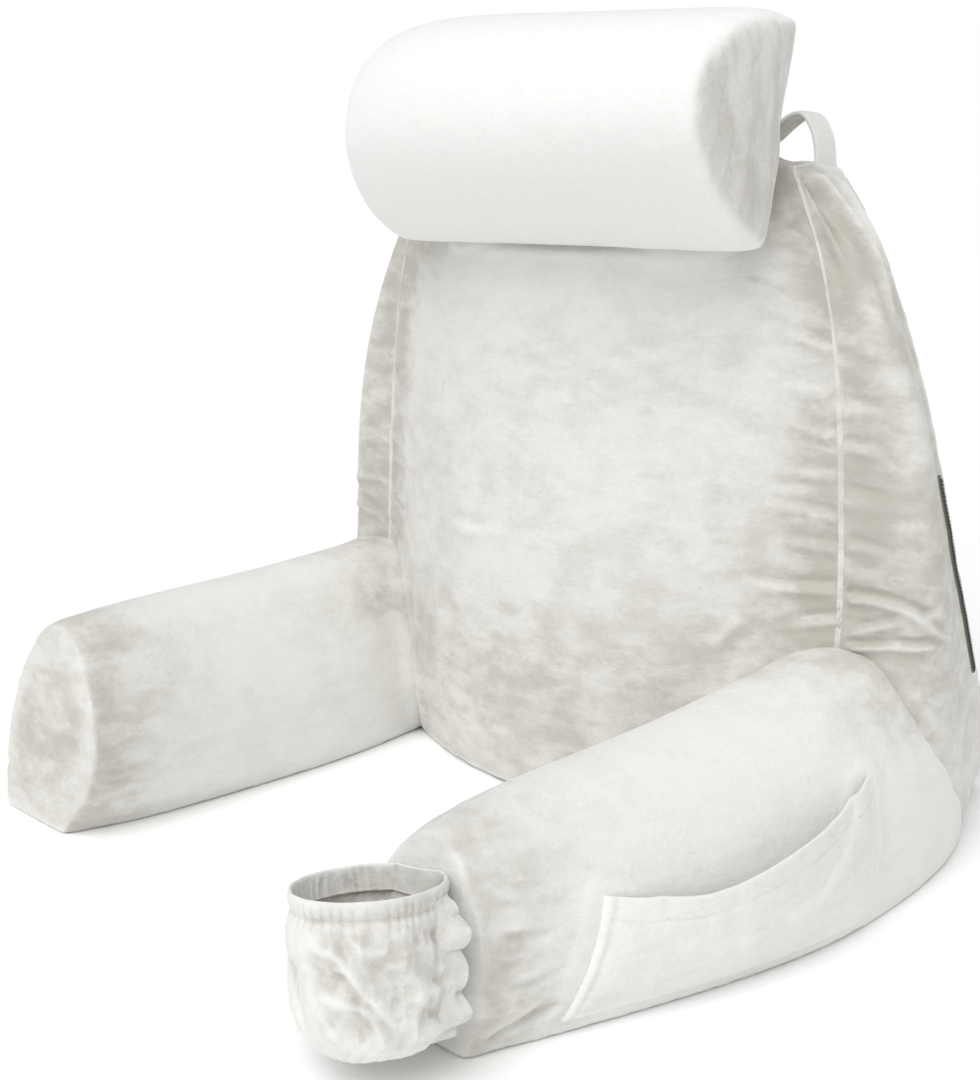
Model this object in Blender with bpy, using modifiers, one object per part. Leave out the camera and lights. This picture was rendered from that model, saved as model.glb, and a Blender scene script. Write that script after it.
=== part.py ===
"""Reading pillow with arms: a wedge backrest, two arms, a neck roll, a pocket and a cup holder.

Metres, +Z up. The pillow faces -Y and stands on z = 0. The origin is a point of the
backrest's flat underside, near its middle. "right" is +X, the side that has the pocket and
the cup holder.
"""

import math
from collections import namedtuple

import bmesh
import bpy
from mathutils import Matrix, Vector
from mathutils.bvhtree import BVHTree

# ---------------------------------------------------------------- driving dimensions

SEWN_GAP = 0.0003  # between two pieces that are sewn or pressed together
CHORD_SAG = 0.0002  # how far a laid cloth's flat facets dip towards the round form under it
CLOTH = 0.0022  # thickness of the plush cloth
SINK = 0.012  # how far a filled form would reach below the floor before its weight flattens it

# One row for each height of the backrest. The front seams stand at (+-seam_x, seam_y) and
# the back seams at (+-back_x, back_y). The front panel is crowned forwards, the gusset
# between the two seams bulges outwards and the back panel is crowned backwards.
BackRow = namedtuple("BackRow", "height seam_y seam_x back_y back_x crown bulge back_crown")
BACKREST_ROWS = [
    BackRow(-SINK, -0.088, 0.232, 0.090, 0.290, 0.098, 0.074, 0.086),
    BackRow(0.035, -0.090, 0.243, 0.086, 0.304, 0.114, 0.084, 0.116),
    BackRow(0.110, -0.090, 0.249, 0.040, 0.309, 0.114, 0.072, 0.156),
    BackRow(0.200, -0.090, 0.250, -0.001, 0.306, 0.102, 0.066, 0.172),
    BackRow(0.290, -0.090, 0.245, -0.027, 0.295, 0.087, 0.064, 0.158),
    BackRow(0.375, -0.090, 0.236, -0.023, 0.269, 0.066, 0.054, 0.112),
    BackRow(0.450, -0.092, 0.220, -0.018, 0.234, 0.040, 0.032, 0.064),
    BackRow(0.520, -0.094, 0.192, -0.008, 0.188, 0.010, 0.006, 0.014),
]
TOP_CROWN = 0.018
FRONT_FULLNESS = 2.4  # the front panel is flatter in its middle for a larger value
BACK_FULLNESS = 2.2

# The gusset from its front seam to its back seam: how much of the bulge each column has,
# and how far back it lies.
GussetColumn = namedtuple("GussetColumn", "bulge depth")
GUSSET_COLUMNS = [
    GussetColumn(0.00, 0.00),
    GussetColumn(1.00, -0.08),
    GussetColumn(0.90, 0.35),
    GussetColumn(0.35, 0.70),
    GussetColumn(0.00, 1.00),
]

# One row for each section of an arm, from its end panel back to the nose beside the backrest.
# The foot is the width of the underside, as a share of the full width.
ArmRow = namedtuple("ArmRow", "y centre_x half_width height foot")
ARM_ROWS = [
    ArmRow(-0.498, 0.209, 0.064, 0.146, 0.50),
    ArmRow(-0.445, 0.213, 0.075, 0.154, 0.72),
    ArmRow(-0.350, 0.230, 0.091, 0.156, 0.84),
    ArmRow(-0.240, 0.244, 0.108, 0.157, 0.92),
    ArmRow(-0.140, 0.252, 0.105, 0.168, 0.92),
    ArmRow(-0.055, 0.257, 0.094, 0.168, 0.92),
    ArmRow(0.015, 0.254, 0.074, 0.140, 0.84),
    ArmRow(0.050, 0.250, 0.040, 0.090, 0.60),
]
END_PANEL_CROWN = 0.010
END_PANEL_LEAN = math.radians(8)
ARM_SQUARENESS = 2.8

# How an arm's end differs from the table: its height and width as shares, and how far its
# middle and its underside lie further out.
ArmEnd = namedtuple("ArmEnd", "height width shift foot_shift")
RIGHT_END = ArmEnd(0.89, 1.00, 0.000, 0.008)
LEFT_END = ArmEnd(1.16, 1.24, 0.015, 0.024)

# One row for each section of the neck roll, from its left end to its right end.
RollRow = namedtuple("RollRow", "x back depth")
ROLL_ROWS = [
    RollRow(-0.193, 0.188, 0.096),
    RollRow(-0.130, 0.192, 0.121),
    RollRow(0.000, 0.182, 0.129),
    RollRow(0.130, 0.174, 0.130),
    RollRow(0.193, 0.172, 0.127),
]
ROLL_LEAN = math.radians(13.5)
ROLL_FOOT_Y = -0.121
ROLL_FOOT_Z = 0.454
ROLL_END_CROWN = 0.010
ROLL_SQUARENESS = 2.6

# The pocket's side edges slant: its foot lies further forward than its hemmed edge.
POCKET_FRONT_Y = -0.405
POCKET_BACK_Y = -0.166
POCKET_SLANT = 0.038
POCKET_FOOT_Z = 0.010
POCKET_LOW_TOP = 0.070  # height of the hemmed edge where it dips most
POCKET_LOW_PLACE = 0.27  # that place, as a share of the way from front to back
POCKET_FRONT_RISE = 0.013
POCKET_BACK_RISE = 0.034
POCKET_GAPE = 0.019  # how far the middle of the mouth stands off the arm

CUP_X = 0.223
CUP_PRESS = 0.004  # how deep the round cup is pressed flat against the end panel
CUP_FOOT = 0.019  # height of the cup holder's bottom above the floor
CUP_LEAN_BACK = math.radians(7)  # with the end panel
CUP_LEAN_INWARDS = math.radians(11)
CUP_FOLDS = 10
CUP_STEPS_A_FOLD = 4
CUP_FOLD_TWIST = 9  # radians that a fold drifts round the cup for each metre of height
CupRow = namedtuple("CupRow", "height radius ruffle")
CUP_ROWS = [
    CupRow(0.002, 0.0, 0.0),
    CupRow(0.000, 0.024, 0.0008),
    CupRow(0.006, 0.039, 0.0016),
    CupRow(0.022, 0.0465, 0.0022),
    CupRow(0.040, 0.0480, 0.0022),
    CupRow(0.058, 0.0482, 0.0020),
    CupRow(0.070, 0.0468, 0.0012),
    CupRow(0.076, 0.0458, 0.0006),
    CupRow(0.088, 0.0478, 0.0004),
    CupRow(0.093, 0.0485, 0.0003),
]

HANDLE_X = 0.150
HANDLE_Y = -0.040
HANDLE_HALF_SPAN = 0.040
HANDLE_TOP = 0.567
HANDLE_FOOT = 0.500
HANDLE_SAG = 0.028  # how far the strap's inner half hangs below an even arch
HANDLE_WIDTH = 0.030
HANDLE_THICKNESS = 0.0035

ZIP_WIDTH = 0.010
ZIP_THICKNESS = 0.0016
ZIP_LOW = 0.128
ZIP_HIGH = 0.293
ZIP_INSET = 0.009  # from the back seam to the middle of the tape

IVORY = (0.80, 0.79, 0.76, 1.0)
IVORY_SHADE = (0.77, 0.76, 0.72, 1.0)
GATHERED_IVORY = (0.84, 0.83, 0.80, 1.0)
ZIP_GREY = (0.36, 0.37, 0.36, 1.0)


# ---------------------------------------------------------------- scene and materials


def clear_scene():
    for obj in list(bpy.data.objects):
        bpy.data.objects.remove(obj, do_unlink=True)


def new_collection(name):
    collection = bpy.data.collections.new(name)
    bpy.context.scene.collection.children.link(collection)
    return collection


def fabric(name, colour, roughness):
    material = bpy.data.materials.new(name)
    material.use_nodes = True
    shader = material.node_tree.nodes["Principled BSDF"]
    shader.inputs["Base Color"].default_value = colour
    shader.inputs["Roughness"].default_value = roughness
    shader.inputs["Metallic"].default_value = 0.0
    return material


# ---------------------------------------------------------------- shaping helpers


def blend(first, second, share):
    return first + (second - first) * share


def row_at(rows, place):
    """The row of a table that lies at this place, from -1 (first row) to 1 (last row)."""
    return rows[round((place + 1) / 2 * (len(rows) - 1))]


def half_round(across, outwards, squareness):
    """Maps a square, with across in -1..1 and outwards in 0..1, to a half-round section."""
    shrink = 1 - math.sqrt(0.5)
    x = across * (1 - shrink * outwards**squareness)
    z = outwards * (1 - shrink * abs(across) ** squareness)
    return x, z


def box_cage(across, along, upwards):
    """A cube from -1 to 1 whose sides are cut into this many even steps along x, y and z."""
    cage = bmesh.new()
    bmesh.ops.create_cube(cage, size=2)
    for axis, count in enumerate((across, along, upwards)):
        normal = Vector((axis == 0, axis == 1, axis == 2))
        for step in range(1, count):
            place = 2 * step / count - 1
            everything = cage.verts[:] + cage.edges[:] + cage.faces[:]
            bmesh.ops.bisect_plane(
                cage, geom=everything, plane_co=normal * place, plane_no=normal
            )
    return cage


def shape_cage(cage, place, seam_of):
    """Moves each point of the cage to place(u, v, w), and creases the edges that are seams."""
    crease = cage.edges.layers.float.new("crease_edge")
    for edge in cage.edges:
        edge[crease] = seam_of(edge.verts[0].co, edge.verts[1].co)
    for vert in cage.verts:
        vert.co = place(*vert.co)
    cage.normal_update()
    bmesh.ops.recalc_face_normals(cage, faces=cage.faces)


def on_side(first, second, axis, value):
    """Whether an edge of the unshaped cube lies in its side axis = value."""
    return abs(first[axis] - value) < 1e-4 and abs(second[axis] - value) < 1e-4


def mesh_object(name, built, collection, material=None):
    mesh = bpy.data.meshes.new(name)
    built.to_mesh(mesh)
    built.free()
    mesh.shade_smooth()
    obj = bpy.data.objects.new(name, mesh)
    collection.objects.link(obj)
    if material:
        mesh.materials.append(material)
    return obj


def subdivide(obj, levels):
    modifier = obj.modifiers.new("rounded", "SUBSURF")
    modifier.levels = levels
    modifier.render_levels = levels
    obj.modifiers.new("triangles", "TRIANGULATE")


def thicken(obj, thickness, offset):
    modifier = obj.modifiers.new("thickness", "SOLIDIFY")
    modifier.thickness = thickness
    modifier.offset = offset


def cut_with(obj, cutter):
    modifier = obj.modifiers.new("cut by " + cutter.name, "BOOLEAN")
    modifier.operation = "DIFFERENCE"
    modifier.solver = "EXACT"
    modifier.object = cutter


def make_cutter(obj):
    obj.hide_render = True
    obj.display_type = "WIRE"


def surface_of(obj):
    """The finished surface of an object, for laying cloth on it."""
    bpy.context.view_layer.update()
    return BVHTree.FromObject(obj, bpy.context.evaluated_depsgraph_get())


# ---------------------------------------------------------------- backrest


def backrest_place(u, v, w):
    row = row_at(BACKREST_ROWS, w)
    column = row_at(GUSSET_COLUMNS, v)
    share = column.depth if abs(u) > 0.99 else (v + 1) / 2
    x = u * (blend(row.seam_x, row.back_x, share) + row.bulge * column.bulge)
    front = row.seam_y - row.crown * (1 - abs(u) ** FRONT_FULLNESS)
    back = row.back_y + row.back_crown * (1 - abs(u) ** BACK_FULLNESS)
    z = row.height
    if w > 0.99:
        z += TOP_CROWN * (1 - u * u) * (1 - 0.3 * v * v)
    return Vector((x, blend(front, back, share), z))


def backrest_seam(first, second):
    gusset = on_side(first, second, 0, 1) or on_side(first, second, 0, -1)
    front = on_side(first, second, 1, -1)
    back = on_side(first, second, 1, 1)
    top = on_side(first, second, 2, 1)
    if gusset and (front or back or top):
        return 0.75
    if front and top:
        return 0.6
    return 0.0


def backrest_object(name, collection, material=None):
    cage = box_cage(4, len(GUSSET_COLUMNS) - 1, len(BACKREST_ROWS) - 1)
    shape_cage(cage, backrest_place, backrest_seam)
    obj = mesh_object(name, cage, collection, material)
    subdivide(obj, 2)
    return obj


# ---------------------------------------------------------------- arms


def arm_object(name, side, end, collection, material):
    """One arm; side is 1 for the right arm and -1 for the left arm."""

    def place(u, v, w):
        row = row_at(ARM_ROWS, v)
        root = (v + 1) / 2
        fade = min(1.0, root * 1.6)
        height = row.height * blend(end.height, 1.0, fade)
        width = row.half_width * blend(end.width, 1.0, fade)
        across, upwards = half_round(u, (w + 1) / 2, ARM_SQUARENESS)
        underside = w < -0.99
        foot = row.foot if underside else 1.0
        shift = end.shift + (end.foot_shift if underside else 0.0)
        x = row.centre_x + shift * (1 - fade) + width * foot * across
        z = blend(-SINK, height, upwards)
        y = row.y + z * math.tan(END_PANEL_LEAN) * (1 - root) ** 3
        if v < -0.99:
            y -= END_PANEL_CROWN * (1 - u * u) * (1 - w * w)
        return Vector((side * x, y, z))

    def at_rim(point):
        return abs(point.x) > 0.99 or abs(point.z) > 0.99

    def seam_of(first, second):
        end_seam = on_side(first, second, 1, -1) and at_rim(first) and at_rim(second)
        return 0.8 if end_seam else 0.0

    cage = box_cage(4, len(ARM_ROWS) - 1, 2)
    shape_cage(cage, place, seam_of)
    obj = mesh_object(name, cage, collection, material)
    subdivide(obj, 2)
    return obj


# ---------------------------------------------------------------- neck roll


def roll_point(x, up_back, depth):
    """A point of the neck roll: x, distance up its flat back, and depth in front of it."""
    y = ROLL_FOOT_Y + up_back * math.sin(ROLL_LEAN) - depth * math.cos(ROLL_LEAN)
    z = ROLL_FOOT_Z + up_back * math.cos(ROLL_LEAN) + depth * math.sin(ROLL_LEAN)
    return Vector((x, y, z))


def neck_roll_object(collection, material):
    def place(u, v, w):
        row = row_at(ROLL_ROWS, u)
        up, outwards = half_round(v, (w + 1) / 2, ROLL_SQUARENESS)
        x = row.x
        if abs(u) > 0.99:
            x += u * ROLL_END_CROWN * (1 - v * v) * (1 - w * w)
        return roll_point(x, (up + 1) / 2 * row.back, outwards * row.depth)

    def seam_of(first, second):
        end = on_side(first, second, 0, 1) or on_side(first, second, 0, -1)
        back = on_side(first, second, 2, -1)
        front = on_side(first, second, 2, 1)
        lip = on_side(first, second, 1, 1) or on_side(first, second, 1, -1)
        if end and (back or lip or front):
            return 0.7
        if back and lip:
            return 0.6
        return 0.0

    cage = box_cage(len(ROLL_ROWS) - 1, 4, 2)
    shape_cage(cage, place, seam_of)
    obj = mesh_object("neck_roll", cage, collection, material)
    subdivide(obj, 2)
    return obj


def roll_seat_cutter(collection):
    """The block behind the neck roll's flat back, which presses the backrest's edge flat."""
    block = box_cage(1, 1, 1)
    reach = 0.08
    spare = 0.03
    below = 0.003
    for vert in block.verts:
        u, v, w = vert.co
        x = u * (ROLL_ROWS[-1].x + spare)
        up_back = blend(-below, ROLL_ROWS[0].back + spare, (v + 1) / 2)
        vert.co = roll_point(x, up_back, blend(-SEWN_GAP, reach, (w + 1) / 2))
    block.normal_update()
    bmesh.ops.recalc_face_normals(block, faces=block.faces)
    cutter = mesh_object("roll_seat", block, collection)
    make_cutter(cutter)
    return cutter


# ---------------------------------------------------------------- cloth pieces


def pocket_top(share):
    """Height of the pocket's hemmed edge, from its front corner (0) to its back corner (1)."""
    if share < POCKET_LOW_PLACE:
        away = 1 - share / POCKET_LOW_PLACE
        return POCKET_LOW_TOP + POCKET_FRONT_RISE * away**1.5
    away = (share - POCKET_LOW_PLACE) / (1 - POCKET_LOW_PLACE)
    return POCKET_LOW_TOP + POCKET_BACK_RISE * away**1.5


def pocket_object(arm_surface, collection, material):
    """A panel sewn to the arm's outer side along three edges; its mouth stands a little open."""
    built = bmesh.new()
    bmesh.ops.create_grid(built, x_segments=18, y_segments=9, size=1)
    for vert in built.verts:
        along = (vert.co.x + 1) / 2
        upwards = (vert.co.y + 1) / 2
        y = blend(POCKET_FRONT_Y, POCKET_BACK_Y, along) - POCKET_SLANT * (1 - upwards)
        z = blend(POCKET_FOOT_Z, pocket_top(along), upwards)
        hit, normal, _, _ = arm_surface.ray_cast(Vector((1, y, z)), Vector((-1, 0, 0)))
        gape = POCKET_GAPE * math.sin(math.pi * along) ** 0.7 * upwards**0.8
        vert.co = hit + normal * (SEWN_GAP + CHORD_SAG + CLOTH / 2 + gape)
    bmesh.ops.recalc_face_normals(built, faces=built.faces)
    obj = mesh_object("tablet_pocket", built, collection, material)
    thicken(obj, CLOTH, 0.0)
    return obj


def cup_holder_object(arm_surface, collection, material):
    """An open gathered cup with an elastic rim, sewn flat against the right arm's end panel."""
    lean = Matrix.Rotation(-CUP_LEAN_BACK, 3, "X") @ Matrix.Rotation(-CUP_LEAN_INWARDS, 3, "Y")
    widest = max(row.radius + row.ruffle for row in CUP_ROWS)
    forwards = Vector((0, 1, 0))
    panel, _, _, _ = arm_surface.ray_cast(Vector((CUP_X, -1, 0.5 * ARM_ROWS[0].height)), forwards)
    foot = Vector((CUP_X, panel.y - widest + CUP_PRESS, CUP_FOOT))
    steps = len(CUP_ROWS) - 1
    built = bmesh.new()
    around = CUP_FOLDS * CUP_STEPS_A_FOLD
    bmesh.ops.create_uvsphere(built, u_segments=around, v_segments=steps * 2, radius=1)
    upper = [vert for vert in built.verts if vert.co.z > 1e-3]
    bmesh.ops.delete(built, geom=upper, context="VERTS")
    for vert in built.verts:
        from_pole = math.acos(max(-1.0, min(1.0, -vert.co.z)))
        row = CUP_ROWS[round(from_pole / (math.pi / 2) * steps)]
        turn = math.atan2(vert.co.y, vert.co.x)
        fold = math.cos(CUP_FOLDS * turn + CUP_FOLD_TWIST * row.height)
        radius = row.radius + row.ruffle * fold
        upright = Vector((radius * math.cos(turn), radius * math.sin(turn), row.height))
        vert.co = foot + lean @ upright
        behind, _, _, _ = arm_surface.ray_cast(Vector((vert.co.x, -1, vert.co.z)), forwards)
        if behind:
            vert.co.y = min(vert.co.y, behind.y - SEWN_GAP)
    built.normal_update()
    bmesh.ops.recalc_face_normals(built, faces=built.faces)
    obj = mesh_object("cup_holder", built, collection, material)
    thicken(obj, CLOTH, -1.0)
    return obj


def carry_handle_object(collection, material):
    """A flat strap that arches over the top edge of the backrest."""
    built = bmesh.new()
    bmesh.ops.create_grid(built, x_segments=16, y_segments=2, size=1)
    for vert in built.verts:
        turn = math.pi * (1 - vert.co.x) / 2
        x = HANDLE_X + HANDLE_HALF_SPAN * math.cos(turn)
        z = blend(HANDLE_FOOT, HANDLE_TOP, max(0.0, math.sin(turn)) ** 0.6)
        inwards = min(max((math.degrees(turn) - 45) / 80, 0.0), 1.0)
        z -= HANDLE_SAG * inwards * inwards * (3 - 2 * inwards) * math.sin(turn)
        y = HANDLE_Y + vert.co.y * HANDLE_WIDTH / 2
        vert.co = Vector((x, y, z))
    obj = mesh_object("carry_handle", built, collection, material)
    thicken(obj, HANDLE_THICKNESS, -1.0)
    return obj


def back_seam_y(height):
    """Where the backrest's back seam lies at this height."""
    above = next(i for i, row in enumerate(BACKREST_ROWS) if row.height > height)
    low, high = BACKREST_ROWS[above - 1], BACKREST_ROWS[above]
    share = (height - low.height) / (high.height - low.height)
    return blend(low.back_y, high.back_y, share)


def back_zip_object(backrest_surface, collection, material):
    """A narrow zip tape that runs up the right gusset beside its back seam."""
    built = bmesh.new()
    bmesh.ops.create_grid(built, x_segments=2, y_segments=12, size=1)
    for vert in built.verts:
        z = blend(ZIP_LOW, ZIP_HIGH, (vert.co.y + 1) / 2)
        y = back_seam_y(z) - ZIP_INSET + vert.co.x * ZIP_WIDTH / 2
        hit, normal, _, _ = backrest_surface.ray_cast(Vector((1, y, z)), Vector((-1, 0, 0)))
        vert.co = hit + normal * (SEWN_GAP + CHORD_SAG + ZIP_THICKNESS / 2)
    bmesh.ops.recalc_face_normals(built, faces=built.faces)
    obj = mesh_object("back_zip", built, collection, material)
    thicken(obj, ZIP_THICKNESS, 0.0)
    return obj


# ---------------------------------------------------------------- assembly


def floor_cutter(collection):
    slab = box_cage(1, 1, 1)
    for vert in slab.verts:
        vert.co.z = min(0.0, vert.co.z)
    cutter = mesh_object("floor", slab, collection)
    make_cutter(cutter)
    return cutter


def main():
    clear_scene()
    parts = new_collection("reading_pillow")
    cutters = new_collection("cutters")
    plush = fabric("ivory_plush", IVORY, 0.9)
    plush_shade = fabric("ivory_plush_sides", IVORY_SHADE, 0.9)
    gathered = fabric("gathered_plush", GATHERED_IVORY, 0.9)
    zip_tape = fabric("grey_zip_tape", ZIP_GREY, 0.6)

    floor = floor_cutter(cutters)
    roll_seat = roll_seat_cutter(cutters)

    # The backrest as it was sewn, a hair larger: it shapes the pieces that press on it.
    bed = backrest_object("backrest_bed", cutters)
    swell = bed.modifiers.new("sewn gap", "DISPLACE")
    swell.strength = SEWN_GAP
    swell.mid_level = 0.0
    make_cutter(bed)

    backrest = backrest_object("backrest", parts, plush)
    cut_with(backrest, floor)
    cut_with(backrest, roll_seat)
    back_zip_object(surface_of(backrest), parts, zip_tape)

    neck_roll_object(parts, plush)

    arm_right = arm_object("arm_right", 1, RIGHT_END, parts, plush)
    arm_left = arm_object("arm_left", -1, LEFT_END, parts, plush)
    for arm in (arm_right, arm_left):
        cut_with(arm, floor)
        cut_with(arm, bed)
    pocket_object(surface_of(arm_right), parts, plush_shade)
    cup_holder_object(surface_of(arm_right), parts, gathered)

    handle = carry_handle_object(parts, plush_shade)
    cut_with(handle, bed)


main()
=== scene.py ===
"""The looks of the reading pillow: filled pieces in short-pile plush, a gathered cup holder,
a hemmed side pocket, a carry loop and a zip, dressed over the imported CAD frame.

Metres, +Z up. The pillow faces -Y and stands on z = 0. "right" is +X, the side with the
pocket and the cup holder.
"""

import math
from collections import namedtuple
from itertools import product

import bmesh
import bpy
import numpy as np
from mathutils import Matrix, Vector
from mathutils.bvhtree import BVHTree


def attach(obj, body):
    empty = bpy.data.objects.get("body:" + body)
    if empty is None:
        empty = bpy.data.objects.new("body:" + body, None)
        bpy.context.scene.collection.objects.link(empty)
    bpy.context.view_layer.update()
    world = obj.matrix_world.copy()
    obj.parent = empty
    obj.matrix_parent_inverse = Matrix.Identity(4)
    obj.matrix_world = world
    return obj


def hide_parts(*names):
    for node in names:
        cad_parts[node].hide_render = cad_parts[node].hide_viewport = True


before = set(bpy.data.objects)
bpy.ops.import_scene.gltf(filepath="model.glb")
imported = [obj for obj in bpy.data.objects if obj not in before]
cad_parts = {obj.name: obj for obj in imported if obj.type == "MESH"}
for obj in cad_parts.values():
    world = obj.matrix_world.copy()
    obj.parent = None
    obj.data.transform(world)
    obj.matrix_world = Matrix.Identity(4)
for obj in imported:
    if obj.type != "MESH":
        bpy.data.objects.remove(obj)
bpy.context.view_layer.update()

scene = bpy.context.scene

# ---------------- sizes shared with the CAD

CLOTH = 0.0022

# Height of each row, then where the front seam and the back seam stand.
SeamRow = namedtuple("SeamRow", "height front_y front_x back_y back_x")
SEAM_ROWS = [
    SeamRow(-0.012, -0.088, 0.232, 0.090, 0.290),
    SeamRow(0.035, -0.090, 0.243, 0.086, 0.304),
    SeamRow(0.110, -0.090, 0.249, 0.040, 0.309),
    SeamRow(0.200, -0.090, 0.250, -0.001, 0.306),
    SeamRow(0.290, -0.090, 0.245, -0.027, 0.295),
    SeamRow(0.375, -0.090, 0.236, -0.023, 0.269),
    SeamRow(0.450, -0.092, 0.220, -0.018, 0.234),
    SeamRow(0.520, -0.094, 0.192, -0.008, 0.188),
]
APEX_HEIGHT = 0.520

ARM_END_Y = -0.498
ARM_END_HEIGHT = 0.146
ARM_END_X = 0.209
ARM_END_HALF_WIDTH = 0.064
ARM_END_LEAN = math.radians(8)
ARM_SQUARENESS = 2.8
ARM_SINK = 0.012
# An arm's end panel: its height and width as shares of the usual ones, and its shift outwards.
ArmEnd = namedtuple("ArmEnd", "height width shift")
RIGHT_END = ArmEnd(0.89, 1.00, 0.000)
LEFT_END = ArmEnd(1.16, 1.24, 0.015)

POCKET_FRONT_Y = -0.405
POCKET_BACK_Y = -0.166
POCKET_SLANT = 0.038
POCKET_FOOT_Z = 0.010
POCKET_LOW_TOP = 0.070
POCKET_LOW_PLACE = 0.27
POCKET_FRONT_RISE = 0.013
POCKET_BACK_RISE = 0.034
POCKET_GAPE = 0.019
POCKET_HEM = 0.0118
POCKET_CORD = 0.0048

CUP_X = 0.223
CUP_FOOT = 0.019
CUP_WIDEST = 0.0504
CUP_PRESS = 0.004
CUP_LEAN_BACK = math.radians(7)
CUP_LEAN_INWARDS = math.radians(11)

HANDLE_X = 0.150
HANDLE_Y = -0.040
HANDLE_HALF_SPAN = 0.040
HANDLE_TOP = 0.567
HANDLE_FOOT = 0.500
HANDLE_SAG = 0.028
HANDLE_WIDTH = 0.030
HANDLE_THICKNESS = 0.0030

ZIP_WIDTH = 0.010
ZIP_LOW = 0.128
ZIP_HIGH = 0.293
ZIP_INSET = 0.009
ZIP_PITCH = 0.0016
ZIP_TOOTH = (0.0013, 0.0022, 0.0011)

# How far a cover swells between its seams, and how deep it is sewn into its neighbour.
BACKREST_SWELL = 0.007
ARM_SWELL = 0.004
ROLL_SWELL = 0.003
ROOT_DEPTH = 0.0085

# ---------------- numbers along lines


def blend(first, second, share):
    return first + (second - first) * share


def smoothstep(low, high, value):
    """0 at low and 1 at high, with a soft start and end; low may be the larger one."""
    share = np.clip((value - low) / (high - low), 0.0, 1.0)
    return share * share * (3 - 2 * share)


def bell(distance, width):
    """1 at no distance, fading to nothing over about two widths."""
    return np.exp(-((distance / width) ** 2))


def unit(vectors):
    return vectors / np.maximum(np.linalg.norm(vectors, axis=1, keepdims=True), 1e-12)


def smooth_line(points, step=0.002):
    """A smooth curve through the points, as evenly spaced points about one step apart."""
    points = np.array(points, float)
    before = np.vstack([2 * points[0] - points[1], points[:-1]])
    after = np.vstack([points[1:], 2 * points[-1] - points[-2]])
    slopes = (after - before) / 2
    pieces = []
    for i in range(len(points) - 1):
        t = np.linspace(0, 1, 24, endpoint=False)[:, None]
        pieces.append(
            (2 * t**3 - 3 * t**2 + 1) * points[i]
            + (t**3 - 2 * t**2 + t) * slopes[i]
            + (3 * t**2 - 2 * t**3) * points[i + 1]
            + (t**3 - t**2) * slopes[i + 1]
        )
    dense = np.vstack([*pieces, points[-1:]])
    lengths = np.concatenate([[0], np.cumsum(np.linalg.norm(np.diff(dense, axis=0), axis=1))])
    count = max(3, round(lengths[-1] / step) + 1)
    places = np.linspace(0, lengths[-1], count)
    return np.stack([np.interp(places, lengths, dense[:, axis]) for axis in range(3)], 1)


def soft_noise(points, size, seed):
    """Smooth noise from -1 to 1 at each point, whose bumps are about this size."""
    cells = 32
    lattice = np.random.default_rng(seed).uniform(-1, 1, (cells, cells, cells))
    scaled = np.asarray(points, float) / size
    corner = np.floor(scaled).astype(int)
    part = scaled - corner
    part = part * part * (3 - 2 * part)
    total = np.zeros(len(scaled))
    for step in product((0, 1), repeat=3):
        weight = np.where(step, part, 1 - part).prod(1)
        total += weight * lattice[tuple(((corner + step) % cells).T)]
    return total


# ---------------- meshes


def deselect_all():
    bpy.ops.object.select_all(action="DESELECT")


def make_active(obj):
    deselect_all()
    obj.select_set(True)
    bpy.context.view_layer.objects.active = obj


def apply_modifiers(obj):
    make_active(obj)
    for modifier in list(obj.modifiers):
        bpy.ops.object.modifier_apply(modifier=modifier.name)


def coordinates(obj):
    points = np.empty(len(obj.data.vertices) * 3)
    obj.data.vertices.foreach_get("co", points)
    return points.reshape(-1, 3)


def normals(obj):
    directions = np.empty(len(obj.data.vertices) * 3)
    obj.data.vertices.foreach_get("normal", directions)
    return directions.reshape(-1, 3)


def move_points(obj, points):
    obj.data.vertices.foreach_set("co", np.ascontiguousarray(points, float).ravel())
    obj.data.update()


def subdivide_once(obj):
    rounded = obj.modifiers.new("rounded", "SUBSURF")
    rounded.levels = rounded.render_levels = 1
    apply_modifiers(obj)


def surface_of(obj):
    mesh = obj.data
    corners = [polygon.vertices[:] for polygon in mesh.polygons]
    return BVHTree.FromPolygons([vert.co for vert in mesh.vertices], corners)


def distance_to_line(points, line):
    """Distance from each point to the nearest point of a line, and which one that is."""
    distance = np.empty(len(points))
    nearest = np.empty(len(points), int)
    for start in range(0, len(points), 4000):
        part = points[start : start + 4000]
        squares = ((part[:, None, :] - line[None, :, :]) ** 2).sum(2)
        nearest[start : start + 4000] = squares.argmin(1)
        distance[start : start + 4000] = np.sqrt(squares.min(1))
    return distance, nearest


def distance_to_surface(points, surface, reach):
    """Distance from each point to a surface, or reach where it is further away."""
    found = np.full(len(points), reach)
    for i, point in enumerate(points):
        hit = surface.find_nearest(Vector(point), reach)
        if hit[0] is not None:
            found[i] = hit[3]
    return found


def smooth_values(obj, values, rounds):
    """Averages a value of each vertex with its neighbours' values."""
    edges = np.empty(len(obj.data.edges) * 2, int)
    obj.data.edges.foreach_get("vertices", edges)
    first, second = edges.reshape(-1, 2).T
    values = np.array(values, float)
    flat = values.ndim == 1
    if flat:
        values = values[:, None]
    count = np.maximum(np.bincount(edges, minlength=len(values)), 1)
    ends, starts = np.concatenate([first, second]), np.concatenate([second, first])
    for _ in range(rounds):
        for column in range(values.shape[1]):
            total = np.bincount(ends, values[starts, column], len(values))
            values[:, column] = 0.5 * values[:, column] + 0.5 * total / count
    return values[:, 0] if flat else values


def hollowness(obj, rounds, depth):
    """How far each point lies below the cloth around it: 1 in a crease, -1 on a ridge."""
    points = coordinates(obj)
    around = smooth_values(obj, points, rounds)
    return np.clip(((around - points) * normals(obj)).sum(1) / depth, -1, 1)


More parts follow.
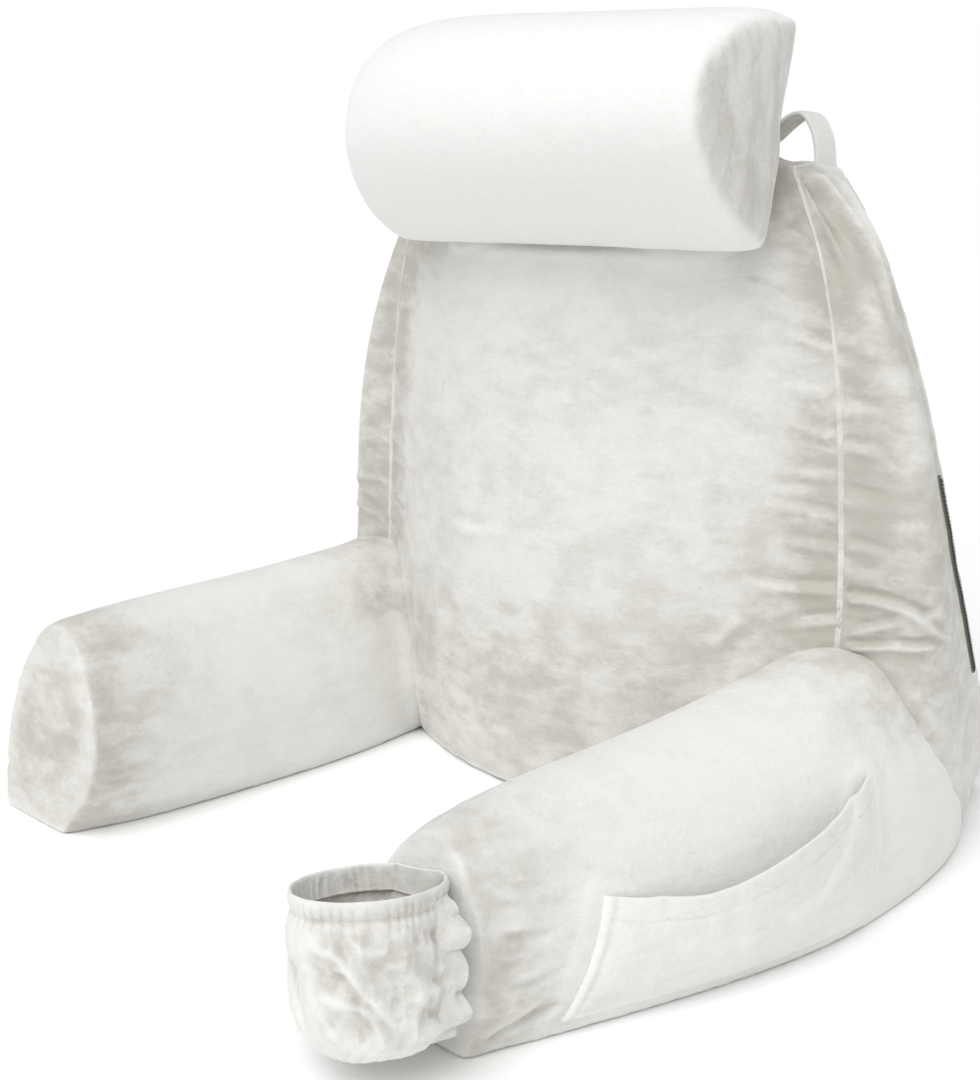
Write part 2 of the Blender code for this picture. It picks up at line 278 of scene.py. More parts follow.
def paint_pile_and_shade(obj, values, most):
    """Stores the painted shade and dark laid pile at each point, from 0 up to most."""
    attribute = obj.data.attributes.new("pile_and_painted_shade", "FLOAT", "POINT")
    attribute.data.foreach_set("value", np.asarray(np.clip(values, 0, most), np.float32))


def dress(obj, material, node=None):
    """Gives a finished piece its material, hangs it under the root body and hides the node it stands
    for, if one is given.
    """
    obj.data.materials.append(material)
    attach(obj, "root")
    if node:
        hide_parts(node)


# ---------------- folds in cloth

# A fold is a rounded ridge along a path. A valley of depth "valley", as a share of the ridge,
# lies on the right of the path as it is seen from outside; a negative height turns it over.
# The fold fades in over "start" and out over "end", as shares of its length.
Fold = namedtuple("Fold", "path width height valley start end")


def beside_line(points, line, reach):
    """The numbers of the points that lie in the line's box, widened by reach."""
    inside = (points > line.min(0) - reach) & (points < line.max(0) + reach)
    return np.nonzero(inside.all(1))[0]


def press_folds(obj, folds):
    points, directions = coordinates(obj), normals(obj)
    shift = np.zeros(len(points))
    for fold in folds:
        line = smooth_line(fold.path, 0.0015)
        near = beside_line(points, line, 4.5 * fold.width)
        distance, closest = distance_to_line(points[near], line)
        tangent = np.gradient(line, axis=0)[closest]
        across = unit(np.cross(tangent, directions[near]))
        offset = ((points[near] - line[closest]) * across).sum(1)
        beyond = np.sqrt(np.maximum(distance**2 - offset**2, 0))
        along = closest / (len(line) - 1)
        taper = smoothstep(0, fold.start, along) * smoothstep(0, fold.end, 1 - along)
        valley = fold.valley * bell(offset - 1.7 * fold.width, fold.width)
        shape = (bell(offset, fold.width) - valley) * bell(beyond, 2 * fold.width)
        shift[near] += fold.height * taper * shape
    move_points(obj, points + directions * shift[:, None])


def refine_near(obj, lines, reach):
    """Halves the mesh's edges within this distance of the lines, where fine folds lie."""
    points = coordinates(obj)
    near = np.zeros(len(points), bool)
    for line in lines:
        inside = beside_line(points, line, reach)
        near[inside[distance_to_line(points[inside], line)[0] < reach]] = True
    built = bmesh.new()
    built.from_mesh(obj.data)
    built.verts.ensure_lookup_table()
    edges = [e for e in built.edges if near[e.verts[0].index] and near[e.verts[1].index]]
    bmesh.ops.subdivide_edges(built, edges=edges, cuts=1, use_grid_fill=True)
    built.to_mesh(obj.data)
    built.free()
    obj.data.shade_smooth()


# ---------------- filled pieces


def node_copy(node, name):
    """A new object with the node's mesh, merged."""
    built = bmesh.new()
    built.from_mesh(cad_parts[node].data)
    bmesh.ops.remove_doubles(built, verts=built.verts, dist=1e-5)
    mesh = bpy.data.meshes.new(name)
    built.to_mesh(mesh)
    built.free()
    obj = bpy.data.objects.new(name, mesh)
    scene.collection.objects.link(obj)
    return obj


def inflate(obj, pinned, growth, cap):
    """Swells the cover with cloth simulation, held where it is pinned, by at most cap."""
    start = coordinates(obj)
    held = obj.vertex_groups.new(name="held")
    held.add([int(i) for i in np.nonzero(pinned)[0]], 1.0, "REPLACE")
    cloth = obj.modifiers.new("filling", "CLOTH")
    settings = cloth.settings
    settings.quality = 5
    settings.mass = 0.3
    settings.tension_stiffness = 15
    settings.compression_stiffness = 15
    settings.shear_stiffness = 5
    settings.bending_stiffness = 0.4
    settings.use_pressure = True
    settings.uniform_pressure_force = 4.0
    settings.shrink_min = -growth
    settings.vertex_group_mass = "held"
    settings.effector_weights.gravity = 0
    cloth.point_cache.frame_start = 1
    cloth.point_cache.frame_end = 20
    for number in range(1, 21):
        scene.frame_set(number)
    apply_modifiers(obj)
    scene.frame_set(1)
    moved = coordinates(obj) - start
    length = np.linalg.norm(moved, axis=1, keepdims=True)
    moved *= np.minimum(1.0, cap / np.maximum(length, 1e-9))
    move_points(obj, start + moved)
    obj.vertex_groups.clear()


def filled_piece(node, name, voxel, seams, touching, growth, cap):
    """The node's cover, meshed evenly, swollen between its seams and subdivided once."""
    obj = node_copy(node, name)
    shape = surface_of(obj)
    remesh = obj.modifiers.new("even mesh", "REMESH")
    remesh.mode = "VOXEL"
    remesh.voxel_size = voxel
    apply_modifiers(obj)
    points = np.array([shape.find_nearest(Vector(p))[0] for p in coordinates(obj)])
    move_points(obj, points)
    directions = normals(obj)
    held = points[:, 2] < 0.004
    for seam in seams:
        held |= distance_to_line(points, seam)[0] < 0.7 * voxel
    for other in touching:
        node_surface = surface_of(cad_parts[other])
        held |= distance_to_surface(points, node_surface, 0.010) < 0.010
    drawn_in = smooth_values(obj, np.where(held, 0.0, 1.0), 6)
    drawn_in[held] = 0.0
    move_points(obj, points - directions * (drawn_in * 0.5 * cap)[:, None])
    inflate(obj, held, growth, cap)
    subdivide_once(obj)
    obj.data.shade_smooth()
    return obj


def crumple(obj, amount, size, stretch, seed):
    """Fine wrinkles, longer along the axes that are stretched; amount is for each vertex."""
    points, directions = coordinates(obj), normals(obj)
    scaled = points / np.array(stretch)
    broad = soft_noise(scaled, size, seed)
    sharp = 0.5 - np.abs(soft_noise(scaled, 0.8 * size, seed + 1)) * 2
    fine = soft_noise(scaled, 0.45 * size, seed + 2)
    shift = amount * (0.55 * broad + 0.45 * sharp + 0.25 * fine)
    move_points(obj, points + directions * shift[:, None])


def finish_on_floor(obj):
    points = coordinates(obj)
    points[:, 2] = np.maximum(points[:, 2], 0.0002)
    move_points(obj, points)


# ---------------- thin cloth


def cloth_grid(name, along, upwards):
    """A flat grid of cloth, and its two coordinates from 0 to 1 at each point."""
    deselect_all()
    bpy.ops.mesh.primitive_grid_add(x_subdivisions=along, y_subdivisions=upwards, size=2)
    obj = bpy.context.object
    obj.name = obj.data.name = name
    grid = (coordinates(obj) + 1) / 2
    return obj, grid[:, 0], grid[:, 1]


def outward_wall(obj, thickness, offset, outwards):
    """Gives a cloth its thickness, with its faces turned this way first."""
    if (normals(obj) * outwards).sum() < 0:
        obj.data.flip_normals()
    wall = obj.modifiers.new("wall", "SOLIDIFY")
    wall.thickness = thickness
    wall.offset = offset
    apply_modifiers(obj)
    obj.data.shade_smooth()


def laid_from_side(cloth, surface, y, z, rounds):
    """Where a cloth's points meet a surface on the pillow's right, and its smoothed normals."""
    rays = [surface.ray_cast(Vector((1, *place)), Vector((-1, 0, 0)))[:2] for place in zip(y, z)]
    placed, outwards = np.array(rays, float).transpose(1, 0, 2)
    return placed, unit(smooth_values(cloth, outwards, rounds))


# ---------------- materials


class Signal:
    """A socket of a material's nodes. Python's operators on it add Math nodes."""

    def __init__(self, finish, socket):
        self.finish, self.socket = finish, socket

    def math(self, operation, first, second):
        return self.finish.add("Math", {"operation": operation}, {0: first, 1: second})

    def __add__(self, other):
        return self.math("ADD", self, other)

    __radd__ = __add__

    def __sub__(self, other):
        return self.math("SUBTRACT", self, other)

    def __rsub__(self, other):
        return self.math("SUBTRACT", other, self)

    def __mul__(self, other):
        return self.math("MULTIPLY", self, other)

    __rmul__ = __mul__


class Finish:
    """One material, with the methods that add its nodes."""

    def __init__(self, name, roughness, sheen=0.0, sheen_roughness=0.5):
        self.material = bpy.data.materials.new(name)
        self.material.use_nodes = True
        self.tree = self.material.node_tree
        self.shader = self.tree.nodes["Principled BSDF"]
        self.shader.inputs["Roughness"].default_value = roughness
        self.shader.inputs["Sheen Weight"].default_value = sheen
        self.shader.inputs["Sheen Roughness"].default_value = sheen_roughness
        self.shader.inputs["Specular IOR Level"].default_value = 0.2

    def add(self, kind, settings, inputs, output=0):
        node = self.tree.nodes.new("ShaderNode" + kind)
        for key, value in settings.items():
            setattr(node, key, value)
        for key, value in inputs.items():
            self.feed(node.inputs[key], value)
        return Signal(self, node.outputs[output])

    def feed(self, socket, value):
        if isinstance(value, Signal):
            self.tree.links.new(value.socket, socket)
        else:
            socket.default_value = value

    def place(self, stretch):
        """Object coordinates, stretched along the axes."""
        where = self.add("TexCoord", {}, {}, "Object")
        if stretch == (1, 1, 1):
            return where
        return self.add("Mapping", {}, {"Vector": where, "Scale": stretch})

    def noise(self, size, detail=2.0, roughness=0.5, distortion=0.0, stretch=(1, 1, 1)):
        """Noise from 0 to 1 whose features are about this many metres wide."""
        look = {"Detail": detail, "Roughness": roughness, "Distortion": distortion}
        return self.add("TexNoise", {}, {"Vector": self.place(stretch), "Scale": 1 / size, **look})

    def step(self, value, low, high):
        """0 below low and 1 above high."""
        between = {"Value": value, "From Min": low, "From Max": high}
        return self.add("MapRange", {"interpolation_type": "SMOOTHSTEP"}, between)

    def attribute(self, name):
        return self.add("Attribute", {"attribute_name": name}, {}, "Fac")

    def mix(self, factor, first, second):
        return self.add("Mix", {"data_type": "RGBA"}, {0: factor, 6: first, 7: second}, 2)

    def bump(self, height, strength, distance, under=None):
        inputs = {"Height": height, "Strength": strength, "Distance": distance}
        if under:
            inputs["Normal"] = under
        return self.add("Bump", {}, inputs, "Normal")

    def colour(self, value):
        self.feed(self.shader.inputs["Base Color"], value)

    def roughness(self, value):
        self.feed(self.shader.inputs["Roughness"], value)

    def normal(self, value):
        self.feed(self.shader.inputs["Normal"], value)


def grey(lightness, warmth=0.0):
    """A linear grey; warmth takes some of its blue out."""
    return (lightness, lightness * (1 - 0.25 * warmth), lightness * (1 - warmth), 1)


def plush(name, light, shade, patches, with_pile_and_shade, strokes_way, blotch=0.010):
    """Short-pile plush: brushed light and dark areas, streaks of laid pile and fine fibres.

    Patches is how far the brushing darkens it, strokes_way how the strokes are stretched and
    blotch the size of the blotches. The with-pile flag reads the mesh's attribute of dark laid pile
    and painted shade, which darkens it.
    """
    finish = Finish(name, 0.95, sheen=0.30, sheen_roughness=0.45)
    sweep = finish.noise(0.080, 3.0, 0.50, 0.2)
    strokes = finish.noise(0.024, 4.0, 0.58, 0.3, strokes_way)
    laid = finish.step(sweep * 0.45 + strokes * 0.55, 0.42, 0.62)
    blotches = finish.step(finish.noise(blotch, 3.0, 0.55, 0.3, strokes_way), 0.32, 0.70)
    flecks = finish.noise(0.0035, 3.0, 0.6, 0.5, (0.7, 0.7, 1.2))
    fibres = finish.noise(0.0011, 2.0, 0.6, 0.5, (1.0, 1.0, 0.45))
    tone = laid * patches
    if with_pile_and_shade:
        # painted shade and dark laid pile, from the mesh's attribute, darken the plush
        pile_and_shade = finish.attribute("pile_and_painted_shade")
        tone = tone * (0.35 + pile_and_shade * 0.60) + pile_and_shade * (0.42 + blotches * 0.30)
    else:
        tone = tone + blotches * 0.10
    tone = tone + (flecks - 0.5) * 0.34 + (fibres - 0.5) * 0.22
    finish.colour(finish.mix(finish.step(tone, -0.15, 1.10), light, shade))
    finish.roughness(0.88 + (fibres - 0.5) * 0.25)
    soft = finish.bump(strokes * 0.6 + blotches * 0.15 + flecks * 0.3, 0.45, 0.0026)
    finish.normal(finish.bump(fibres, 0.30, 0.0006, soft))
    return finish.material


LIGHT_IVORY = (0.805, 0.798, 0.775, 1)
SHADE_IVORY = (0.505, 0.491, 0.436, 1)
# painted light: the neck roll's plush is painted whiter than the rest, for its brightly lit front
PAINTED_LIGHT_IVORY = (0.885, 0.880, 0.868, 1)
SIDE_IVORY = (0.830, 0.825, 0.805, 1)

# painted shade: the seams' plush is a darker copy of the backrest's, to sit in the painted shade
# beside the seams
SEAM_SHADED_IVORY = (0.760, 0.753, 0.725, 1)
SEAM_SHADE_IVORY = (0.560, 0.548, 0.500, 1)
UPWARDS = (0.55, 0.8, 1.7)
EVERY_WAY = (1, 1, 1)

ivory_plush = plush("ivory_plush", LIGHT_IVORY, SHADE_IVORY, 0.42, True, (0.7, 0.8, 1.4), 0.017)
roll_plush = plush("ivory_plush_roll", PAINTED_LIGHT_IVORY, SHADE_IVORY, 0.04, True, (1.2, 1.3, 0.6), 0.024)
side_plush = plush("ivory_plush_sides", SIDE_IVORY, SHADE_IVORY, 0.22, True, UPWARDS)
gathered_plush = plush("gathered_plush", SIDE_IVORY, SHADE_IVORY, 0.30, True, EVERY_WAY)
seam_plush = plush("ivory_plush_seams", SEAM_SHADED_IVORY, SEAM_SHADE_IVORY, 0.60, False, UPWARDS)


TAPE_GREY = (0.195, 0.205, 0.165, 1)
TAPE_SHADE = (0.120, 0.125, 0.100, 1)


def zip_tape_finish():
    finish = Finish("zip_tape", 0.7, sheen=0.1)
    bands = {"Vector": finish.place((1, 1, 1)), "Scale": 260.0, "Distortion": 0.4}
    weave = finish.add("TexWave", {"wave_type": "BANDS", "bands_direction": "Z"}, bands)
    grain = finish.noise(0.0012)
    finish.colour(finish.mix(grain * 0.6 + weave * 0.3, TAPE_GREY, TAPE_SHADE))
    finish.roughness(0.6 + grain * 0.3)
    finish.normal(finish.bump(weave, 0.5, 0.0003))
    return finish.material


zip_tape = zip_tape_finish()


def zip_teeth_finish():
    finish = Finish("zip_teeth", 0.4)
    grain = finish.noise(0.0015)
    finish.colour(finish.mix(grain, grey(0.055, 0.05), grey(0.10, 0.06)))
    finish.roughness(0.35 + grain * 0.25)
    return finish.material


zip_teeth = zip_teeth_finish()

# ---------------- seam lines


def backrest_seam(side, which):
    """The backrest's front or back seam on one side, from the floor to the top corner."""
    heights = [row.height for row in SEAM_ROWS]
    xs = [getattr(row, which + "_x") for row in SEAM_ROWS]
    ys = [getattr(row, which + "_y") for row in SEAM_ROWS]
    line = smooth_line(list(zip(xs, ys, heights)))
    line = line[(line[:, 2] >= 0.0) & (line[:, 2] <= APEX_HEIGHT)]
    return line * np.array([side, 1, 1])


def seam_at(line, height, axis):
    """Where a rising seam stands along an axis, at each height."""
    order = np.argsort(line[:, 2])
    return np.interp(height, line[order, 2], line[order, axis])


def half_round(across, outwards):
    """A point of the arm's squarish half round, from a point of a square's rim."""
    shrink = 1 - math.sqrt(0.5)
    x = across * (1 - shrink * outwards**ARM_SQUARENESS)
    z = outwards * (1 - shrink * abs(across) ** ARM_SQUARENESS)
    return x, z


def arm_end_seam(side, end):
    """The seam round an arm's end panel, from the floor outside over the top to inside."""
    rim = [(1.0, s) for s in np.linspace(0.08, 1, 12)]
    rim += [(s, 1.0) for s in np.linspace(1, -1, 25)[1:-1]]
    rim += [(-1.0, s) for s in np.linspace(1, 0.08, 12)]
    points = []
    for across, upwards in rim:
        x, z = half_round(across, upwards)
        height = blend(-ARM_SINK, ARM_END_HEIGHT * end.height, z)
        place = ARM_END_X + end.shift + ARM_END_HALF_WIDTH * end.width * x
        points.append((side * place, ARM_END_Y + height * math.tan(ARM_END_LEAN), height))
    return smooth_line(points)


def laid_on(line, surface):
    """The line's points moved to the surface, with the surface's normals there."""
    found = [surface.find_nearest(Vector(p))[:2] for p in line]
    points, directions = np.array(found, float).transpose(1, 0, 2)
    for _ in range(3):
        points[1:-1] = (points[:-2] + 2 * points[1:-1] + points[2:]) / 4
        directions[1:-1] = (directions[:-2] + 2 * directions[1:-1] + directions[2:]) / 4
    return points, unit(directions)


# Across a lapped seam: the distance from its middle as a share of half its width, and the
# height above the cloth as a share of its full height.
LAPPED_SEAM = [(-1.0, -0.9), (-0.92, 0.1), (-0.72, 0.85), (-0.45, 1.0), (-0.18, 0.72),
               (0.0, 0.30), (0.18, 0.72), (0.45, 1.0), (0.72, 0.85), (0.92, 0.1), (1.0, -0.9)]
SEAM_RISE = 0.0006
SEAM_CLOTH = 0.0009


def seam_strip(name, line, width, seed):
    """A sewn seam that lies on the backrest along a line, as a strip with its own thickness.

    The width is one number, or one for each of the line's points.
    """
    points, directions = laid_on(line, backrest_surface)
    width = np.broadcast_to(width, len(points))
    across = unit(np.cross(np.gradient(points, axis=0), directions))
    strip, along, crosswise = cloth_grid(name, len(points) - 1, len(LAPPED_SEAM) - 1)
    i = np.round(along * (len(points) - 1)).astype(int)
    j = np.round(crosswise * (len(LAPPED_SEAM) - 1)).astype(int)
    sideways, upwards = np.array(LAPPED_SEAM).T
    along = i / (len(points) - 1)
    ends = smoothstep(0, 0.02, along) * smoothstep(0, 0.02, 1 - along)
    uneven = 1 + 0.22 * soft_noise(points[i], 0.012, seed)
    rise = np.where(upwards[j] > 0, upwards[j] * ends * uneven, upwards[j])
    placed = points[i] + across[i] * (sideways[j] * width[i] / 2)[:, None]
    move_points(strip, placed + directions[i] * (rise * SEAM_RISE)[:, None])
    outward_wall(strip, SEAM_CLOTH, -1, directions[i])
    dress(strip, seam_plush)


# ---------------- backrest

front_seams = {side: backrest_seam(side, "front") for side in (1, -1)}
back_seams = {side: backrest_seam(side, "back") for side in (1, -1)}
both_front_seams = np.vstack(list(front_seams.values()))

backrest = filled_piece(
    "backrest", "backrest_cushion", 0.0065, [*front_seams.values(), *back_seams.values()],
    ["arm_right", "arm_left", "neck_roll", "carry_handle"], 0.035, BACKREST_SWELL,
)

# Gusset folds that fan out from the corner beside the neck roll, then the creases on both
# sides of the front seam. Paths run away from the seam or from the corner.
CORNER_FOLDS = [
    # the long crisp ridge and the deep valleys on both sides of it
    Fold([(0.196, -0.082, 0.517), (0.201, -0.081, 0.511), (0.209, -0.077, 0.502),
          (0.219, -0.071, 0.489), (0.231, -0.066, 0.472), (0.241, -0.061, 0.455),
          (0.255, -0.062, 0.434), (0.270, -0.068, 0.411), (0.283, -0.072, 0.386)],
         0.0042, 0.0100, 0.35, 0.10, 0.60),
    Fold([(0.201, -0.090, 0.513), (0.209, -0.089, 0.502), (0.218, -0.088, 0.489),
          (0.228, -0.087, 0.475), (0.238, -0.086, 0.459), (0.247, -0.086, 0.442)],
         0.0050, -0.0092, 0.0, 0.12, 0.50),
    Fold([(0.196, -0.064, 0.519), (0.206, -0.058, 0.506), (0.215, -0.050, 0.491),
          (0.226, -0.046, 0.474), (0.238, -0.046, 0.456), (0.252, -0.050, 0.432)],
         0.0050, -0.0070, 0.0, 0.15, 0.55),
    # the smaller ridge beside the seam and the pocket below it
    Fold([(0.203, -0.095, 0.512), (0.211, -0.096, 0.496), (0.221, -0.096, 0.480),
          (0.231, -0.095, 0.463), (0.241, -0.094, 0.446)], 0.0032, 0.0034, 0.3, 0.12, 0.50),
    Fold([(0.213, -0.095, 0.478), (0.221, -0.094, 0.461), (0.229, -0.094, 0.446),
          (0.236, -0.094, 0.434)], 0.0042, -0.0042, 0.0, 0.35, 0.45),
    # the outer ridge that runs down to the back of the gusset
    Fold([(0.197, -0.042, 0.515), (0.207, -0.032, 0.499), (0.217, -0.028, 0.481),
          (0.230, -0.027, 0.458), (0.245, -0.032, 0.430), (0.258, -0.040, 0.400)],
         0.0050, 0.0055, 0.4, 0.12, 0.55),
]
SEAM_CREASES = [
    # on the front panel, left of the right seam
    Fold([(0.232, -0.092, 0.384), (0.213, -0.098, 0.392), (0.190, -0.106, 0.400)],
         0.0040, 0.0022, 0.7, 0.12, 0.80),
    Fold([(0.236, -0.092, 0.352), (0.215, -0.101, 0.356), (0.185, -0.112, 0.364)],
         0.0050, 0.0018, 0.6, 0.12, 0.80),
    Fold([(0.239, -0.092, 0.319), (0.218, -0.102, 0.328), (0.195, -0.111, 0.338)],
         0.0042, 0.0024, 0.7, 0.12, 0.80),
    Fold([(0.243, -0.092, 0.290), (0.222, -0.104, 0.293), (0.192, -0.117, 0.298)],
         0.0052, 0.0020, 0.6, 0.12, 0.80),
    Fold([(0.248, -0.092, 0.259), (0.221, -0.105, 0.265), (0.190, -0.119, 0.268)],
         0.0042, 0.0026, 0.7, 0.12, 0.75),
    Fold([(0.250, -0.092, 0.235), (0.222, -0.106, 0.239), (0.192, -0.121, 0.243)],
         0.0044, 0.0026, 0.8, 0.12, 0.75),
    Fold([(0.252, -0.092, 0.203), (0.218, -0.110, 0.204), (0.183, -0.130, 0.206)],
         0.0045, 0.0036, 0.9, 0.12, 0.65),
    Fold([(0.253, -0.092, 0.183), (0.230, -0.103, 0.177), (0.204, -0.118, 0.172)],
         0.0040, 0.0030, 0.8, 0.02, 0.70),
    Fold([(0.167, -0.144, 0.150), (0.182, -0.134, 0.171), (0.202, -0.121, 0.190)],
         0.0070, 0.0030, 0.5, 0.30, 0.50),
    # on the gusset, right of the right seam
    Fold([(0.234, -0.091, 0.385), (0.248, -0.092, 0.383), (0.270, -0.091, 0.376)],
         0.0045, -0.0020, 0.7, 0.12, 0.80),
    Fold([(0.240, -0.090, 0.350), (0.262, -0.091, 0.350), (0.284, -0.090, 0.344)],
         0.0055, -0.0018, 0.6, 0.12, 0.80),
    Fold([(0.243, -0.091, 0.323), (0.262, -0.091, 0.321), (0.288, -0.091, 0.320)],
         0.0045, -0.0024, 0.8, 0.12, 0.75),
    Fold([(0.247, -0.090, 0.285), (0.270, -0.092, 0.283), (0.300, -0.088, 0.280)],
         0.0055, -0.0020, 0.6, 0.12, 0.80),
    Fold([(0.251, -0.090, 0.248), (0.276, -0.093, 0.246), (0.306, -0.088, 0.240)],
         0.0050, -0.0022, 0.7, 0.12, 0.80),
    Fold([(0.254, -0.091, 0.206), (0.277, -0.093, 0.208), (0.299, -0.091, 0.207),
          (0.315, -0.081, 0.201), (0.323, -0.060, 0.199)], 0.0038, -0.0045, 0.9, 0.04, 0.30),
    Fold([(0.262, -0.092, 0.180), (0.276, -0.092, 0.187), (0.289, -0.092, 0.192),
          (0.304, -0.090, 0.197)], 0.0036, -0.0032, 0.8, 0.30, 0.40),
    Fold([(0.256, -0.091, 0.168), (0.275, -0.092, 0.172), (0.294, -0.092, 0.176),
          (0.312, -0.082, 0.177), (0.321, -0.071, 0.177), (0.324, -0.059, 0.170)],
         0.0032, -0.0038, 0.9, 0.10, 0.25),
    Fold([(0.312, -0.084, 0.203), (0.317, -0.079, 0.197), (0.323, -0.066, 0.188),
          (0.322, -0.040, 0.176)], 0.0042, -0.0038, 0.8, 0.20, 0.45),
    # across the front panel
    Fold([(-0.100, -0.168, 0.224), (-0.075, -0.172, 0.226), (-0.043, -0.178, 0.228),
          (-0.010, -0.180, 0.236)], 0.0060, -0.0022, 0.6, 0.50, 0.50),
    Fold([(0.158, -0.111, 0.438), (0.167, -0.109, 0.437), (0.177, -0.106, 0.435),
          (0.189, -0.103, 0.431), (0.200, -0.100, 0.425)], 0.0028, -0.0016, 0.6, 0.40, 0.50),
    Fold([(0.186, -0.098, 0.477), (0.195, -0.096, 0.474), (0.206, -0.094, 0.472)],
         0.0026, -0.0018, 0.6, 0.35, 0.40),
]


def mirrored(folds, share):
    """The folds on the other side of the pillow, a little weaker and moved along the seam."""
    return [
        fold._replace(path=[(-x, y, z + 0.007) for x, y, z in fold.path], height=share * fold.height)
        for fold in folds
    ]


fold_lines = [smooth_line(fold.path) for fold in CORNER_FOLDS + SEAM_CREASES]
refine_near(backrest, [*fold_lines, front_seams[1][front_seams[1][:, 2] > 0.15]], 0.013)
press_folds(backrest, CORNER_FOLDS + SEAM_CREASES)
press_folds(backrest, mirrored(CORNER_FOLDS, 0.8) + mirrored(SEAM_CREASES[:-3], 0.4))


def crumple_beside_seams():
    """Short wrinkles that run away from the front seams and die out in the panels."""
    points = coordinates(backrest)
    near = distance_to_line(points, both_front_seams)[0]
    amount = 0.0010 * bell(near, 0.038) * smoothstep(0.0, 0.006, near)
    amount *= 0.35 + 0.65 * smoothstep(0.45, 0.30, points[:, 2])
    crumple(backrest, amount, 0.0105, (3.6, 3.6, 1.0), 71)


crumple_beside_seams()


def paint_shade_on_backrest():
    """Painted shade, with some dark laid pile: in the folds and creases, beside the front seams, on
    the gussets and low down.
    """
    points = coordinates(backrest)
    height = points[:, 2]
    near = distance_to_line(points, both_front_seams)[0]
    seam_x = seam_at(front_seams[1], np.clip(height, 0, APEX_HEIGHT), 0)
    in_front = 0.2 * np.minimum(0, -0.09 - points[:, 1])
    on_gusset = smoothstep(-0.001, 0.003, np.abs(points[:, 0]) - seam_x + in_front)
    away = smoothstep(0.050, 0.150, near)
    value = np.maximum(on_gusset * (1.0 - 0.60 * away), 0.90 * bell(near, 0.055))
    value = np.maximum(value, 0.36 * smoothstep(0.45, 0.36, height))
    value += 0.75 * bell(near, 0.075) * smoothstep(0.31, 0.20, height) * (1 - 0.6 * on_gusset)
    value += 0.70 * bell(near, 0.020) * smoothstep(0.390, 0.430, height)
    value = np.maximum(value, 0.80 * smoothstep(0.26, 0.10, height) * (1 - on_gusset))
    # painted shade in the valleys of the corner folds, on both sides
    outer = np.abs(points[:, :1]) * (1, 0, 0) + points * (0, 1, 1)
    for fold in CORNER_FOLDS:
        if fold.height < 0:
            value += 0.75 * bell(distance_to_line(outer, smooth_line(fold.path))[0], 1.2 * fold.width)
    # painted shade in the creases, darker the deeper they lie
    value += 0.60 * hollowness(backrest, 24, 0.0045) + 0.30 * hollowness(backrest, 6, 0.0010)
    paint_pile_and_shade(backrest, value, 1.4)


paint_shade_on_backrest()
finish_on_floor(backrest)
dress(backrest, ivory_plush, "backrest")

backrest_surface = surface_of(backrest)

# Where an arm is sewn to the backrest, from the front panel over the arm to the gusset.
ARM_ROOT = [(0.177, -0.139, 0.136), (0.196, -0.127, 0.147), (0.215, -0.1135, 0.155),
            (0.241, -0.097, 0.161), (0.253, -0.092, 0.1645), (0.271, -0.0925, 0.1655),
            (0.299, -0.091, 0.159), (0.316, -0.075, 0.138), (0.321, -0.047, 0.107),
            (0.318, -0.016, 0.067)]

for side, word in ((1, "right"), (-1, "left")):
    rising = front_seams[side][front_seams[side][:, 2] > 0.150]
    top = np.array([(0.191 * side, -0.080, 0.524), (0.189 * side, -0.060, 0.527)])
    line = smooth_line(np.vstack([rising[::6], top]))
    # two rows of stitching show on the lower part, and one fine edge above it
    width = blend(0.0050, 0.0024, smoothstep(0.30, 0.42, line[:, 2]))
    seam_strip("front_seam_" + word, line, width, 11 + side)
    above_floor = back_seams[side][back_seams[side][:, 2] > 0.003]
    seam_strip("back_seam_" + word, above_floor, 0.0030, 21 + side)

# ---------------- arms

# Creases of the arm's outer side that run back from the end seam; the lowest is the longest.
ARM_FOLDS = [
    Fold([(0.258, -0.496, 0.010), (0.265, -0.487, 0.017), (0.271, -0.472, 0.024),
          (0.277, -0.453, 0.032), (0.281, -0.441, 0.037)], 0.0038, 0.0040, 0.9, 0.20, 0.50),
    Fold([(0.272, -0.462, 0.018), (0.278, -0.447, 0.024), (0.282, -0.437, 0.028)],
         0.0028, -0.0018, 0.6, 0.25, 0.40),
    Fold([(0.266, -0.478, 0.048), (0.272, -0.460, 0.049), (0.279, -0.434, 0.052)],
         0.0032, 0.0020, 0.8, 0.35, 0.55),
    Fold([(0.262, -0.484, 0.063), (0.268, -0.466, 0.061), (0.275, -0.448, 0.057)],
         0.0028, 0.0015, 0.7, 0.30, 0.60),
    Fold([(0.258, -0.476, 0.080), (0.265, -0.458, 0.076), (0.274, -0.428, 0.073)],
         0.0034, 0.0020, 0.8, 0.35, 0.60),
    Fold([(0.247, -0.478, 0.100), (0.260, -0.457, 0.093), (0.270, -0.436, 0.086)],
         0.0036, 0.0015, 0.7, 0.30, 0.60),
]


def root_line(side):
    return smooth_line(np.array(ARM_ROOT) * (side, 1, 1))


def seat_root(arm, side):
    """Sinks the arm's root into the backrest and fills it out towards the root seam."""
    points, directions = coordinates(arm), normals(arm)
    near = distance_to_line(points, root_line(side))[0]
    node_surface = surface_of(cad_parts["backrest"])
    seated = np.zeros(len(points))
    inwards = np.zeros((len(points), 3))
    for i in np.nonzero(near < 0.16)[0]:
        hit, normal, _, distance = node_surface.find_nearest(Vector(points[i]), 0.012)
        if hit is not None:
            seated[i] = smoothstep(0.012, 0.001, distance)
            inwards[i] = -np.array(normal)
    seated = smooth_values(arm, seated, 8)
    inwards = smooth_values(arm, inwards, 12)
    fill = bell(near, 0.030) * (1 - seated)
    fill *= smoothstep(0.245, 0.290, np.abs(points[:, 0]))
    fill = smooth_values(arm, fill, 12)
    points = points + inwards * (ROOT_DEPTH * seated)[:, None]
    points = points + directions * (0.0060 * fill)[:, None]
    softened = smooth_values(arm, points, 24)
    share = np.clip(6 * seated * (1 - seated), 0, 1) * smoothstep(0.004, 0.012, points[:, 2])
    move_points(arm, points + (softened - points) * smooth_values(arm, share, 4)[:, None])


